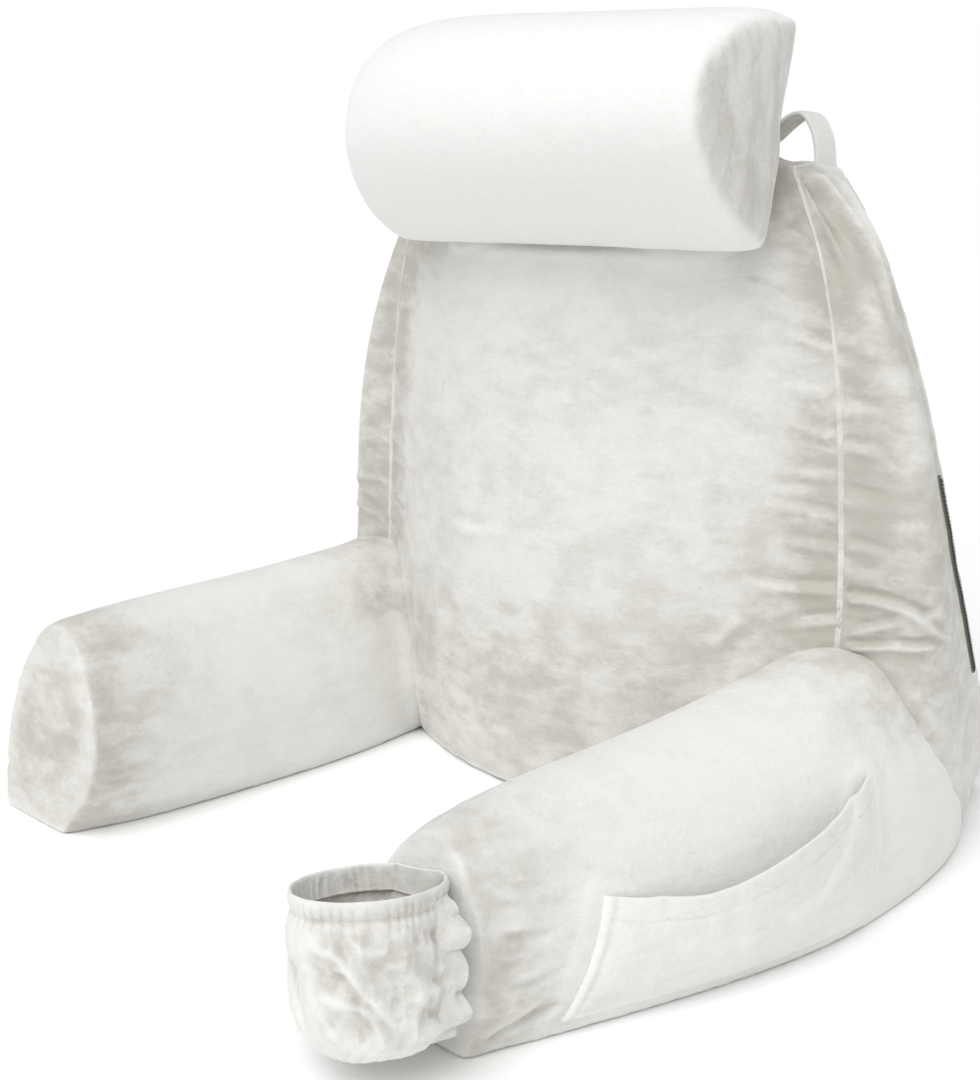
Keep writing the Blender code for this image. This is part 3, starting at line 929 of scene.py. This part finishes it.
def dressed_arm(node, side, end, folds):
    """One arm with its end seam and folds; gives back its surface."""
    seam = arm_end_seam(side, end)
    touching = ["backrest", "tablet_pocket", "cup_holder"] if side > 0 else ["backrest"]
    arm = filled_piece(node, node + "_cushion", 0.005, [seam], touching, 0.015, ARM_SWELL)
    seat_root(arm, side)
    end_seam = Fold([tuple(p) for p in seam[4:-4:3]], 0.0022, -0.0007, 0.0, 0.05, 0.05)
    refine_near(arm, [smooth_line(fold.path) for fold in folds], 0.014)
    press_folds(arm, [*folds, end_seam])
    points = coordinates(arm)
    behind = points[:, 1] - ARM_END_Y - points[:, 2] * math.tan(ARM_END_LEAN)
    amount = 0.0013 * bell(behind, 0.050) * smoothstep(0.004, 0.022, behind)
    crumple(arm, amount * smoothstep(0.165, 0.12, points[:, 2]), 0.010, (2.2, 2.8, 1.0), 81 + side)
    points = coordinates(arm)
    # painted shade: darker on the end panel and just behind it, round the root, over the whole left
    # arm and in the creases
    value = 0.85 * bell(np.maximum(behind, 0), 0.060) * smoothstep(-0.001, 0.004, behind)
    value += (0.45 if side > 0 else 0.90) * smoothstep(0.002, -0.002, behind)
    from_root = distance_to_line(points, root_line(side))[0]
    value += 0.90 * bell(from_root, 0.070) * smoothstep(0.085, 0.135, points[:, 2])
    value += 0.0 if side > 0 else 0.10
    value += 0.60 * hollowness(arm, 20, 0.0035) + 0.30 * hollowness(arm, 6, 0.0010)
    paint_pile_and_shade(arm, value, 1.4)
    finish_on_floor(arm)
    dress(arm, ivory_plush, node)
    return surface_of(arm)


# the left arm's end is wider and taller, so its folds lie further out and higher
left_folds = [
    fold._replace(path=[(x - 0.030, y, z * 1.25) for x, y, z in fold.path])
    for fold in mirrored(ARM_FOLDS, 0.35)
]
arm_right_surface = dressed_arm("arm_right", 1, RIGHT_END, ARM_FOLDS)
dressed_arm("arm_left", -1, LEFT_END, left_folds)

# ---------------- neck roll


def dressed_roll():
    """The neck roll with well rounded edges, kept at its node's size."""
    roll = filled_piece("neck_roll", "neck_roll_cushion", 0.005, [], ["backrest"], 0.012, ROLL_SWELL)
    low, high = coordinates(roll).min(0), coordinates(roll).max(0)
    rounded = smooth_values(roll, coordinates(roll), 26)
    middle = (rounded.min(0) + rounded.max(0)) / 2
    scale = (high - low) / (rounded.max(0) - rounded.min(0))
    move_points(roll, (low + high) / 2 + (rounded - middle) * scale)
    points, directions = coordinates(roll), normals(roll)
    # painted shade: both end faces of the roll are painted darker, with a ragged edge
    ragged = soft_noise(points, 0.006, 91) * 0.5 + soft_noise(points, 0.018, 92) * 0.5
    shaded_end_face = smoothstep(0.78, 0.96, np.abs(directions[:, 0]) + ragged * 0.06)
    paint_pile_and_shade(roll, 0.95 * smooth_values(roll, shaded_end_face, 4), 1.0)
    dress(roll, roll_plush, "neck_roll")


dressed_roll()

# ---------------- pocket


def pocket_top(share):
    """The height of the pocket's dipping top edge, from its front at 0 to its back at 1."""
    away = np.where(
        share < POCKET_LOW_PLACE,
        1 - share / POCKET_LOW_PLACE,
        (share - POCKET_LOW_PLACE) / (1 - POCKET_LOW_PLACE),
    )
    rise = np.where(share < POCKET_LOW_PLACE, POCKET_FRONT_RISE, POCKET_BACK_RISE)
    return POCKET_LOW_TOP + rise * np.clip(away, 0, 1) ** 1.5


def dressed_pocket():
    """The pocket's one panel: a gaping hemmed top, and three edges sewn to the arm."""
    pocket, along, upwards = cloth_grid("side_pocket", 200, 80)
    y = blend(POCKET_FRONT_Y, POCKET_BACK_Y, along) - POCKET_SLANT * (1 - upwards)
    z = blend(POCKET_FOOT_Z, pocket_top(along), upwards)
    gape = POCKET_GAPE * np.sin(np.pi * along) ** 1.15 * upwards**0.8
    below_top = (1 - upwards) * (pocket_top(along) - POCKET_FOOT_Z)
    hem = smoothstep(POCKET_HEM + 0.0007, POCKET_HEM - 0.0008, below_top)
    stitch_line = bell(below_top - POCKET_HEM, 0.0011)
    lying = np.stack([np.zeros_like(y), y, z], 1)
    drag = soft_noise(lying * (1, 0.55, 1.2), 0.030, 5) * 0.0016
    drag += soft_noise(lying * (1, 1.2, 0.5), 0.014, 6) * 0.0006
    drag *= np.clip(4 * along * (1 - along), 0, 1) * np.clip(3 * upwards, 0, 1)
    length = POCKET_BACK_Y - POCKET_FRONT_Y
    from_front, from_back = along * length, (1 - along) * length
    from_foot = upwards * (pocket_top(along) - POCKET_FOOT_Z)
    from_edge = np.minimum(np.minimum(from_front, from_back), from_foot)
    # the three sewn edges are turned in and sink into the arm; the front one is corded
    cord = 0.0006 * bell(from_front - POCKET_CORD, 0.0014)
    cord += 0.0003 * bell(from_back - POCKET_CORD, 0.0014)
    groove = 0.0004 * bell(from_front - 0.0085, 0.0018)
    turned_in = 0.0024 * smoothstep(0.0036, 0.0, from_edge)
    turned_in += 0.0017 * smoothstep(0.022, 0.002, from_edge)
    raised = gape + hem * 0.0004 - stitch_line * 0.0003 + drag + cord - groove - turned_in
    placed, outwards = laid_from_side(pocket, arm_right_surface, y, z, 12)
    move_points(pocket, placed + outwards * (0.0008 + CLOTH / 2 + raised)[:, None])
    outward_wall(pocket, CLOTH, 0.0, outwards)
    # painted shade, darker in the pocket's hollows
    paint_pile_and_shade(pocket, 0.22 + 0.6 * hollowness(pocket, 10, 0.0008), 1.2)
    dress(pocket, side_plush, "tablet_pocket")


dressed_pocket()

# ---------------- cup holder

CupRow = namedtuple("CupRow", "height radius")
CUP_ROWS = [
    CupRow(0.0025, 0.000), CupRow(0.0005, 0.012), CupRow(0.0000, 0.024), CupRow(0.0030, 0.034),
    CupRow(0.0080, 0.0405), CupRow(0.0150, 0.0450), CupRow(0.0240, 0.0474),
    CupRow(0.0330, 0.0482), CupRow(0.0420, 0.0484), CupRow(0.0510, 0.0484),
    CupRow(0.0590, 0.0484), CupRow(0.0660, 0.0484), CupRow(0.0730, 0.0482),
    CupRow(0.0790, 0.0468), CupRow(0.0825, 0.0452), CupRow(0.0850, 0.0458),
    CupRow(0.0880, 0.0466), CupRow(0.0915, 0.0469), CupRow(0.0940, 0.0456),
    CupRow(0.0925, 0.0440), CupRow(0.0860, 0.0436), CupRow(0.0790, 0.0432),
]
CUP_BAND_FOOT = 0.0825
CUP_RIM = 0.0940
CUP_RADIUS = 0.048
CUP_GATHERS = 44
CUP_CLOTH = 0.0016
RUFFLE_TOP = CUP_RIM - 0.008
RUFFLE_LENGTH = 0.082
RUFFLE_CLOTH = 0.0014
# the turns of the two gathered sides round the cup's axis, and how far round each starts
RUFFLE_TURNS = {"right": 31, "left": 149}
RUFFLE_START = math.radians(20)

# The gathered sides stand out in uneven lobes: how high each one lies, half its length down
# the side, and how far it stands out, as a share of the furthest.
RuffleLobe = namedtuple("RuffleLobe", "height half_length reach")
RUFFLE_LOBES = [
    RuffleLobe(0.0800, 0.0060, 0.45), RuffleLobe(0.0655, 0.0095, 1.00),
    RuffleLobe(0.0430, 0.0135, 0.62), RuffleLobe(0.0200, 0.0098, 0.95),
    RuffleLobe(0.0035, 0.0070, 0.75),
]


def lobes(height):
    """The lobes of the cup's gathered sides down their height: 0 at a pinch, up to 1."""
    total = np.zeros_like(height)
    for lobe in RUFFLE_LOBES:
        share = np.clip(1 - ((height - lobe.height) / lobe.half_length) ** 2, 0, 1)
        total = np.maximum(total, lobe.reach * share**0.7)
    return total


def cup_frame():
    """The middle of the cup's foot, in front of the arm's end panel, and the way it leans."""
    lean = Matrix.Rotation(-CUP_LEAN_BACK, 3, "X") @ Matrix.Rotation(-CUP_LEAN_INWARDS, 3, "Y")
    node = surface_of(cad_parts["arm_right"])
    start = Vector((CUP_X, -1, 0.5 * ARM_END_HEIGHT))
    panel = node.ray_cast(start, Vector((0, 1, 0)))[0]
    foot = Vector((CUP_X, panel.y - CUP_WIDEST + CUP_PRESS, CUP_FOOT))
    return np.array(foot), np.array(lean)


cup_foot, cup_lean = cup_frame()


def round_cup(radius, turn, height):
    """A point this far from the axis of a cup that stands upright at the origin."""
    return np.stack([radius * np.cos(turn), radius * np.sin(turn), height], 1)


def kept_off_arm(points, gap):
    """The points, moved forwards where they lie nearer than the gap to the arm's end."""
    points = np.array(points)
    for i, (x, y, z) in enumerate(points):
        hit = arm_right_surface.ray_cast(Vector((x, -1, z)), Vector((0, 1, 0)))[0]
        if hit:
            points[i, 1] = min(y, hit.y - gap[i])
    return points


def cup_profile(place):
    """Height and radius down the cup's side, from the foot's middle at 0 to inside at 1."""
    rows = np.array(CUP_ROWS)
    at = place * (len(rows) - 1)
    low = np.clip(np.floor(at).astype(int), 0, len(rows) - 2)
    t = (at - low)[:, None]
    before, first, second = rows[np.clip(low - 1, 0, None)], rows[low], rows[low + 1]
    after = rows[np.clip(low + 2, None, len(rows) - 1)]
    row = 0.5 * (
        2 * first + (second - before) * t
        + (2 * before - 5 * first + 4 * second - after) * t**2
        + (3 * first - before - 3 * second + after) * t**3
    )
    return row[:, 0], row[:, 1], at > np.argmax(rows[:, 0])


def dressed_cup():
    """The cup holder's one gathered cloth, from the middle of its foot to inside its rim."""
    rings = 8 * (len(CUP_ROWS) - 1)
    deselect_all()
    bpy.ops.mesh.primitive_uv_sphere_add(segments=400, ring_count=rings, radius=1)
    cup = bpy.context.object
    cup.name = cup.data.name = "gathered_cup_holder"
    bpy.ops.object.mode_set(mode="EDIT")
    bpy.ops.mesh.select_all(action="SELECT")
    bpy.ops.mesh.bisect(plane_co=(0, 0, 0.0001), plane_no=(0, 0, 1), clear_outer=True)
    bpy.ops.object.mode_set(mode="OBJECT")
    points = coordinates(cup)
    from_pole = np.arccos(np.clip(-points[:, 2] / np.linalg.norm(points, axis=1), -1, 1))
    place = np.clip(from_pole / (np.pi / 2), 0, 1)
    turn = np.arctan2(points[:, 1], points[:, 0])
    height, radius, inner = cup_profile(place)
    radius[place < 1e-6] = 0
    on_wall = round_cup(CUP_RADIUS, turn, height)
    uneven = soft_noise(on_wall, 0.020, 41)
    # fine gathers under the rim, each a soft tuck between two pinched lines
    gathers = np.abs(np.sin(0.5 * (CUP_GATHERS * turn + 5.5 * uneven))) ** 0.6 - 0.7
    gathers = gathers * (0.75 + 0.5 * soft_noise(on_wall * (1, 1, 0.3), 0.013, 47))
    band = smoothstep(CUP_BAND_FOOT - 0.014, CUP_BAND_FOOT, height)
    band = band * smoothstep(CUP_RIM, CUP_BAND_FOOT + 0.004, height)
    # loose pleats hang from them, over a crumpled body with soft ridges
    body = smoothstep(0.002, 0.014, height) * smoothstep(CUP_BAND_FOOT, 0.066, height)
    pleats = soft_noise(on_wall * (1, 1, 0.30), 0.0095, 42)
    slanted = on_wall * (1, 1, 0.60) + height[:, None] * (0.5, 0.3, 0)
    ridges = 0.55 - 1.6 * np.abs(soft_noise(slanted, 0.0150, 43))
    lumps = soft_noise(on_wall, 0.026, 44)
    fine = 0.5 - 1.5 * np.abs(soft_noise(on_wall * (1, 1, 0.8), 0.0070, 45))
    degrees = np.degrees(turn)
    side = bell(degrees - 22, 24) + bell(degrees - 158, 24)
    side_folds = (lobes(height - 0.030 * np.radians(31 - degrees)) - 0.5) * side
    foot_gathers = np.abs(np.sin(11 * turn + 3.0 * uneven)) - 0.6
    foot = bell(radius - 0.038, 0.010) * smoothstep(0.014, 0.002, height)
    wave = (
        0.0011 * gathers * band
        + body * (0.0022 * pleats + 0.0026 * ridges + 0.0030 * lumps + 0.0009 * fine)
        + 0.0032 * side_folds * body
        + 0.0020 * foot_gathers * foot
        + 0.0007 * smoothstep(0.080, 0.092, height) * soft_noise(on_wall, 0.009, 46)
    )
    height = height + 0.0030 * lumps * smoothstep(0.030, 0.004, height) * smoothstep(0, 0.03, radius)
    radius = np.maximum(radius + wave * smoothstep(0.0, 0.02, radius), 0)
    placed = cup_foot + round_cup(radius, turn, height) @ cup_lean.T
    placed = kept_off_arm(placed, np.where(inner, 0.0036, 0.0006))
    move_points(cup, placed)
    outwards = placed - cup_foot - (0, 0, 0.04)
    outwards[place > 0.9] = 0
    outward_wall(cup, CUP_CLOTH, -1.0, outwards)
    # painted light and shade: the cup is painted lighter towards its outer left side, darker
    # elsewhere and in its hollows
    across = (coordinates(cup) - cup_foot) @ (-0.72, -0.69, 0.0) / CUP_RADIUS
    value = 0.85 - 0.75 * smoothstep(0.35, 0.95, across)
    value += 0.45 * hollowness(cup, 8, 0.0009) + 0.60 * hollowness(cup, 70, 0.0020)
    paint_pile_and_shade(cup, value, 1.3)
    dress(cup, gathered_plush, "cup_holder")
    return cup


cup_holder = dressed_cup()
cup_surface = surface_of(cup_holder)


def cup_wall_radius(turn, height, otherwise):
    """How far out the cup's cloth lies at each turn round its axis and each height."""
    outside = 0.09
    starts = cup_foot + round_cup(outside, turn, height) @ cup_lean.T
    inwards = round_cup(-1, turn, 0 * height) @ cup_lean.T
    radius = np.array(otherwise)
    for i, start in enumerate(starts):
        hit = cup_surface.ray_cast(Vector(start), Vector(inwards[i]), outside)
        if hit[0] is not None:
            radius[i] = outside - hit[3]
    return radius


def cup_ruffle(name, turn, seed):
    """The gathered edge of the cup's cloth, where it is sewn to the arm's end panel."""
    ruffle, along, outwards = cloth_grid(name, 180, 16)
    height = blend(RUFFLE_TOP, RUFFLE_TOP - RUFFLE_LENGTH, along)
    radius = np.interp(height, [-0.004, 0.004, 0.015, 0.03, 0.070, 0.086],
                       [0.028, 0.036, 0.0430, 0.0462, 0.0462, 0.0440])
    wander = soft_noise(np.stack([along * 0.1, outwards * 0.01, along * 0], 1), 0.013, seed + 95)
    lobe = lobes(height + 0.0020 * wander)
    reach = 0.0026 + 0.0074 * lobe + 0.0010 * wander
    reach *= smoothstep(0, 0.05, along) * smoothstep(0, 0.04, 1 - along) * 0.85 + 0.15
    # it leaves the cup's side gently, and each lobe rolls over towards the cup's front
    hand = 1 if math.cos(turn) > 0 else -1
    start = turn - hand * RUFFLE_START * (1 - outwards) ** 1.3
    roll = outwards**2.2 * (0.0006 + 0.0036 * lobe + 0.0008 * wander)
    wall = cup_wall_radius(start, height, radius)
    outward = blend(wall, np.maximum(wall, radius), smoothstep(0, 0.6, outwards))
    outward += reach * smoothstep(0, 1, outwards) + 0.0009 * (2 * outwards - 1)
    x = outward * np.cos(start) + hand * roll * math.sin(turn)
    y = outward * np.sin(start) - roll * abs(math.cos(turn))
    droop = 0.0034 * outwards * (1 - lobe) - 0.0016 * outwards
    upright = np.stack([x, y, height + droop], 1)
    placed = kept_off_arm(cup_foot + upright @ cup_lean.T, np.full(len(height), 0.0025))
    placed[:, 2] = np.maximum(placed[:, 2], 0.002)
    move_points(ruffle, placed)
    outward_wall(ruffle, RUFFLE_CLOTH, 0.0, np.array((0.3, -1.0, 0.3)))
    subdivide_once(ruffle)
    # painted shade, darker in the ruffle's hollows
    paint_pile_and_shade(ruffle, 0.50 + 0.6 * hollowness(ruffle, 14, 0.0010), 1.2)
    dress(ruffle, gathered_plush)
    return ruffle


ruffles = [
    cup_ruffle("cup_side_ruffle_" + word, math.radians(turn), seed)
    for seed, (word, turn) in enumerate(RUFFLE_TURNS.items(), 1)
]

# ---------------- carry handle


def dressed_handle():
    """The carry loop: a flat strap that arches up and sags towards its inner end."""
    handle, along, across = cloth_grid("carry_loop", 96, 14)
    turn = np.pi * (1 - along)
    x = HANDLE_X + HANDLE_HALF_SPAN * np.cos(turn)
    z = blend(HANDLE_FOOT, HANDLE_TOP - 0.0012, np.maximum(0, np.sin(turn)) ** 0.6)
    z = z - HANDLE_SAG * smoothstep(45, 125, np.degrees(turn)) * np.sin(turn)
    sideways = 2 * across - 1
    y = HANDLE_Y + sideways * (HANDLE_WIDTH / 2 - 0.0008)
    middle = np.array([HANDLE_X, 0, HANDLE_FOOT])
    outwards = unit(np.stack([x, np.zeros_like(x), z], 1) - middle)
    stitched = bell(np.abs(sideways) - 0.78, 0.05)
    puff = -0.0006 * stitched + 0.0004 * (1 - sideways**2)
    puff += 0.0006 * soft_noise(np.stack([x, y, z], 1), 0.012, 61)
    placed = np.stack([x, y, z], 1) + outwards * (puff - 0.0006)[:, None]
    move_points(handle, placed)
    outward_wall(handle, HANDLE_THICKNESS, -1.0, outwards)
    subdivide_once(handle)
    # painted shade: the loop's inner face and its hollows are painted darker
    shaded_inner_face = ((coordinates(handle) - middle) * normals(handle)).sum(1) < 0
    paint_pile_and_shade(handle, 0.25 + 0.75 * shaded_inner_face + 0.5 * hollowness(handle, 6, 0.0006), 1.3)
    dress(handle, side_plush, "carry_handle")


dressed_handle()

# ---------------- zip


def dressed_zip():
    """The zip's tape; gives back its middle line and the normals along it."""
    tape, across, upwards = cloth_grid("back_zip_tape", 10, 80)
    z = blend(ZIP_LOW, ZIP_HIGH, upwards)
    sideways = 2 * across - 1
    y = seam_at(back_seams[1], z, 1) - ZIP_INSET + sideways * ZIP_WIDTH / 2
    placed, outwards = laid_from_side(tape, backrest_surface, y, z, 8)
    # the tape's edges are sewn in under the plush, so only its middle shows
    tucked = smoothstep(0.22, 0.45, np.abs(sideways))
    raised = placed + outwards * (0.0010 - 0.0026 * tucked)[:, None]
    move_points(tape, raised)
    outward_wall(tape, 0.0012, 0.0, outwards)
    dress(tape, zip_tape, "back_zip")
    middle = np.nonzero(np.abs(sideways) < 0.01)[0]
    middle = middle[np.argsort(z[middle])]
    return raised[middle], outwards[middle]


zip_line, zip_normals = dressed_zip()


def zip_tooth():
    """One zip tooth: a bevelled block, modelled at the origin."""
    deselect_all()
    bpy.ops.mesh.primitive_cube_add(size=1)
    tooth = bpy.context.object
    bpy.ops.object.mode_set(mode="EDIT")
    bpy.ops.mesh.select_all(action="SELECT")
    bpy.ops.transform.resize(value=ZIP_TOOTH)
    bpy.ops.mesh.bevel(offset=0.00025, segments=1, affect="EDGES")
    bpy.ops.object.mode_set(mode="OBJECT")
    return tooth


def zip_teeth_row():
    """Copies of the tooth along the tape, turned with it and set to either side in turn."""
    tooth = zip_tooth()
    line = smooth_line(zip_line, ZIP_PITCH)
    spread = np.linspace(0, 1, len(zip_line))
    places = np.linspace(0, 1, len(line))
    directions = np.stack([np.interp(places, spread, zip_normals[:, k]) for k in range(3)], 1)
    copies = []
    for n in range(2, len(line) - 2):
        up = Vector(line[n + 1] - line[n - 1]).normalized()
        out = Vector(directions[n]).normalized()
        side = up.cross(out).normalized()
        turn = Matrix((out, side, up)).transposed().to_4x4()
        shift = Vector(line[n]) + out * 0.0011 + side * (0.0005 if n % 2 else -0.0005)
        copy = tooth.copy()
        copy.data = tooth.data.copy()
        copy.data.transform(Matrix.Translation(shift) @ turn)
        scene.collection.objects.link(copy)
        copies.append(copy)
    bpy.data.objects.remove(tooth)
    deselect_all()
    for copy in copies:
        copy.select_set(True)
    bpy.context.view_layer.objects.active = copies[0]
    bpy.ops.object.join()
    row = bpy.context.object
    row.name = row.data.name = "back_zip_teeth"
    dress(row, zip_teeth)


zip_teeth_row()

# ---------------- studio


def studio_floor():
    deselect_all()
    bpy.ops.mesh.primitive_circle_add(vertices=96, radius=9, fill_type="NGON")
    floor = bpy.context.object
    floor.name = "studio_floor"
    finish = Finish("white_floor", 0.9)
    finish.colour(finish.mix(finish.noise(0.4), grey(0.985), grey(0.990)))
    finish.shader.inputs["Specular IOR Level"].default_value = 0.0
    floor.data.materials.append(finish.material)


def soft_light(name, towards, strength, spread):
    """A far, wide, even light; towards is the direction from the pillow to the light."""
    data = bpy.data.lights.new(name, "SUN")
    data.energy = strength
    data.angle = math.radians(spread)
    light = bpy.data.objects.new(name, data)
    light.location = towards
    light.rotation_mode = "QUATERNION"
    light.rotation_quaternion = Vector(towards).to_track_quat("Z", "Y")
    scene.collection.objects.link(light)


def studio_surround():
    """White all round: what the camera sees is white, and what lights the cloth is softer."""
    world = bpy.data.worlds.new("studio")
    world.use_nodes = True
    tree = world.node_tree
    tree.nodes.clear()
    kinds = ("LightPath", "Background", "Background", "MixShader", "OutputWorld")
    path, lighting, seen, choose, output = (tree.nodes.new("ShaderNode" + k) for k in kinds)
    for background, strength in ((lighting, 0.42), (seen, 1.0)):
        background.inputs["Color"].default_value = (1, 1, 1, 1)
        background.inputs["Strength"].default_value = strength
    tree.links.new(path.outputs["Is Camera Ray"], choose.inputs[0])
    tree.links.new(lighting.outputs[0], choose.inputs[1])
    tree.links.new(seen.outputs[0], choose.inputs[2])
    tree.links.new(choose.outputs[0], output.inputs["Surface"])
    scene.world = world


CAMERA_PLACE = (0.794, -1.042, 0.501)
CAMERA_AZIMUTH = math.radians(43.7)
CAMERA_ELEVATION = math.radians(13.5)
PHOTO_HEIGHT_PX = 1080
FOCAL_LENGTH_PX = 1464


def photo_camera():
    level = math.cos(CAMERA_ELEVATION)
    ahead = Vector((-math.sin(CAMERA_AZIMUTH) * level, math.cos(CAMERA_AZIMUTH) * level,
                    -math.sin(CAMERA_ELEVATION)))
    data = bpy.data.cameras.new("photo_view")
    data.sensor_width = 36
    data.lens = FOCAL_LENGTH_PX / PHOTO_HEIGHT_PX * data.sensor_width
    camera = bpy.data.objects.new("photo_view", data)
    camera.location = CAMERA_PLACE
    camera.rotation_mode = "QUATERNION"
    camera.rotation_quaternion = ahead.to_track_quat("-Z", "Y")
    scene.collection.objects.link(camera)
    scene.camera = camera


studio_floor()
studio_surround()
soft_light("top_light", (0.10, -0.55, 1.0), 1.90, 50)
soft_light("front_light", (0.20, -1.0, 0.25), 0.45, 60)
soft_light("side_light", (1.0, 0.10, 0.35), 0.30, 60)
photo_camera()
scene.view_settings.view_transform = "Standard"
scene.view_settings.look = "None"
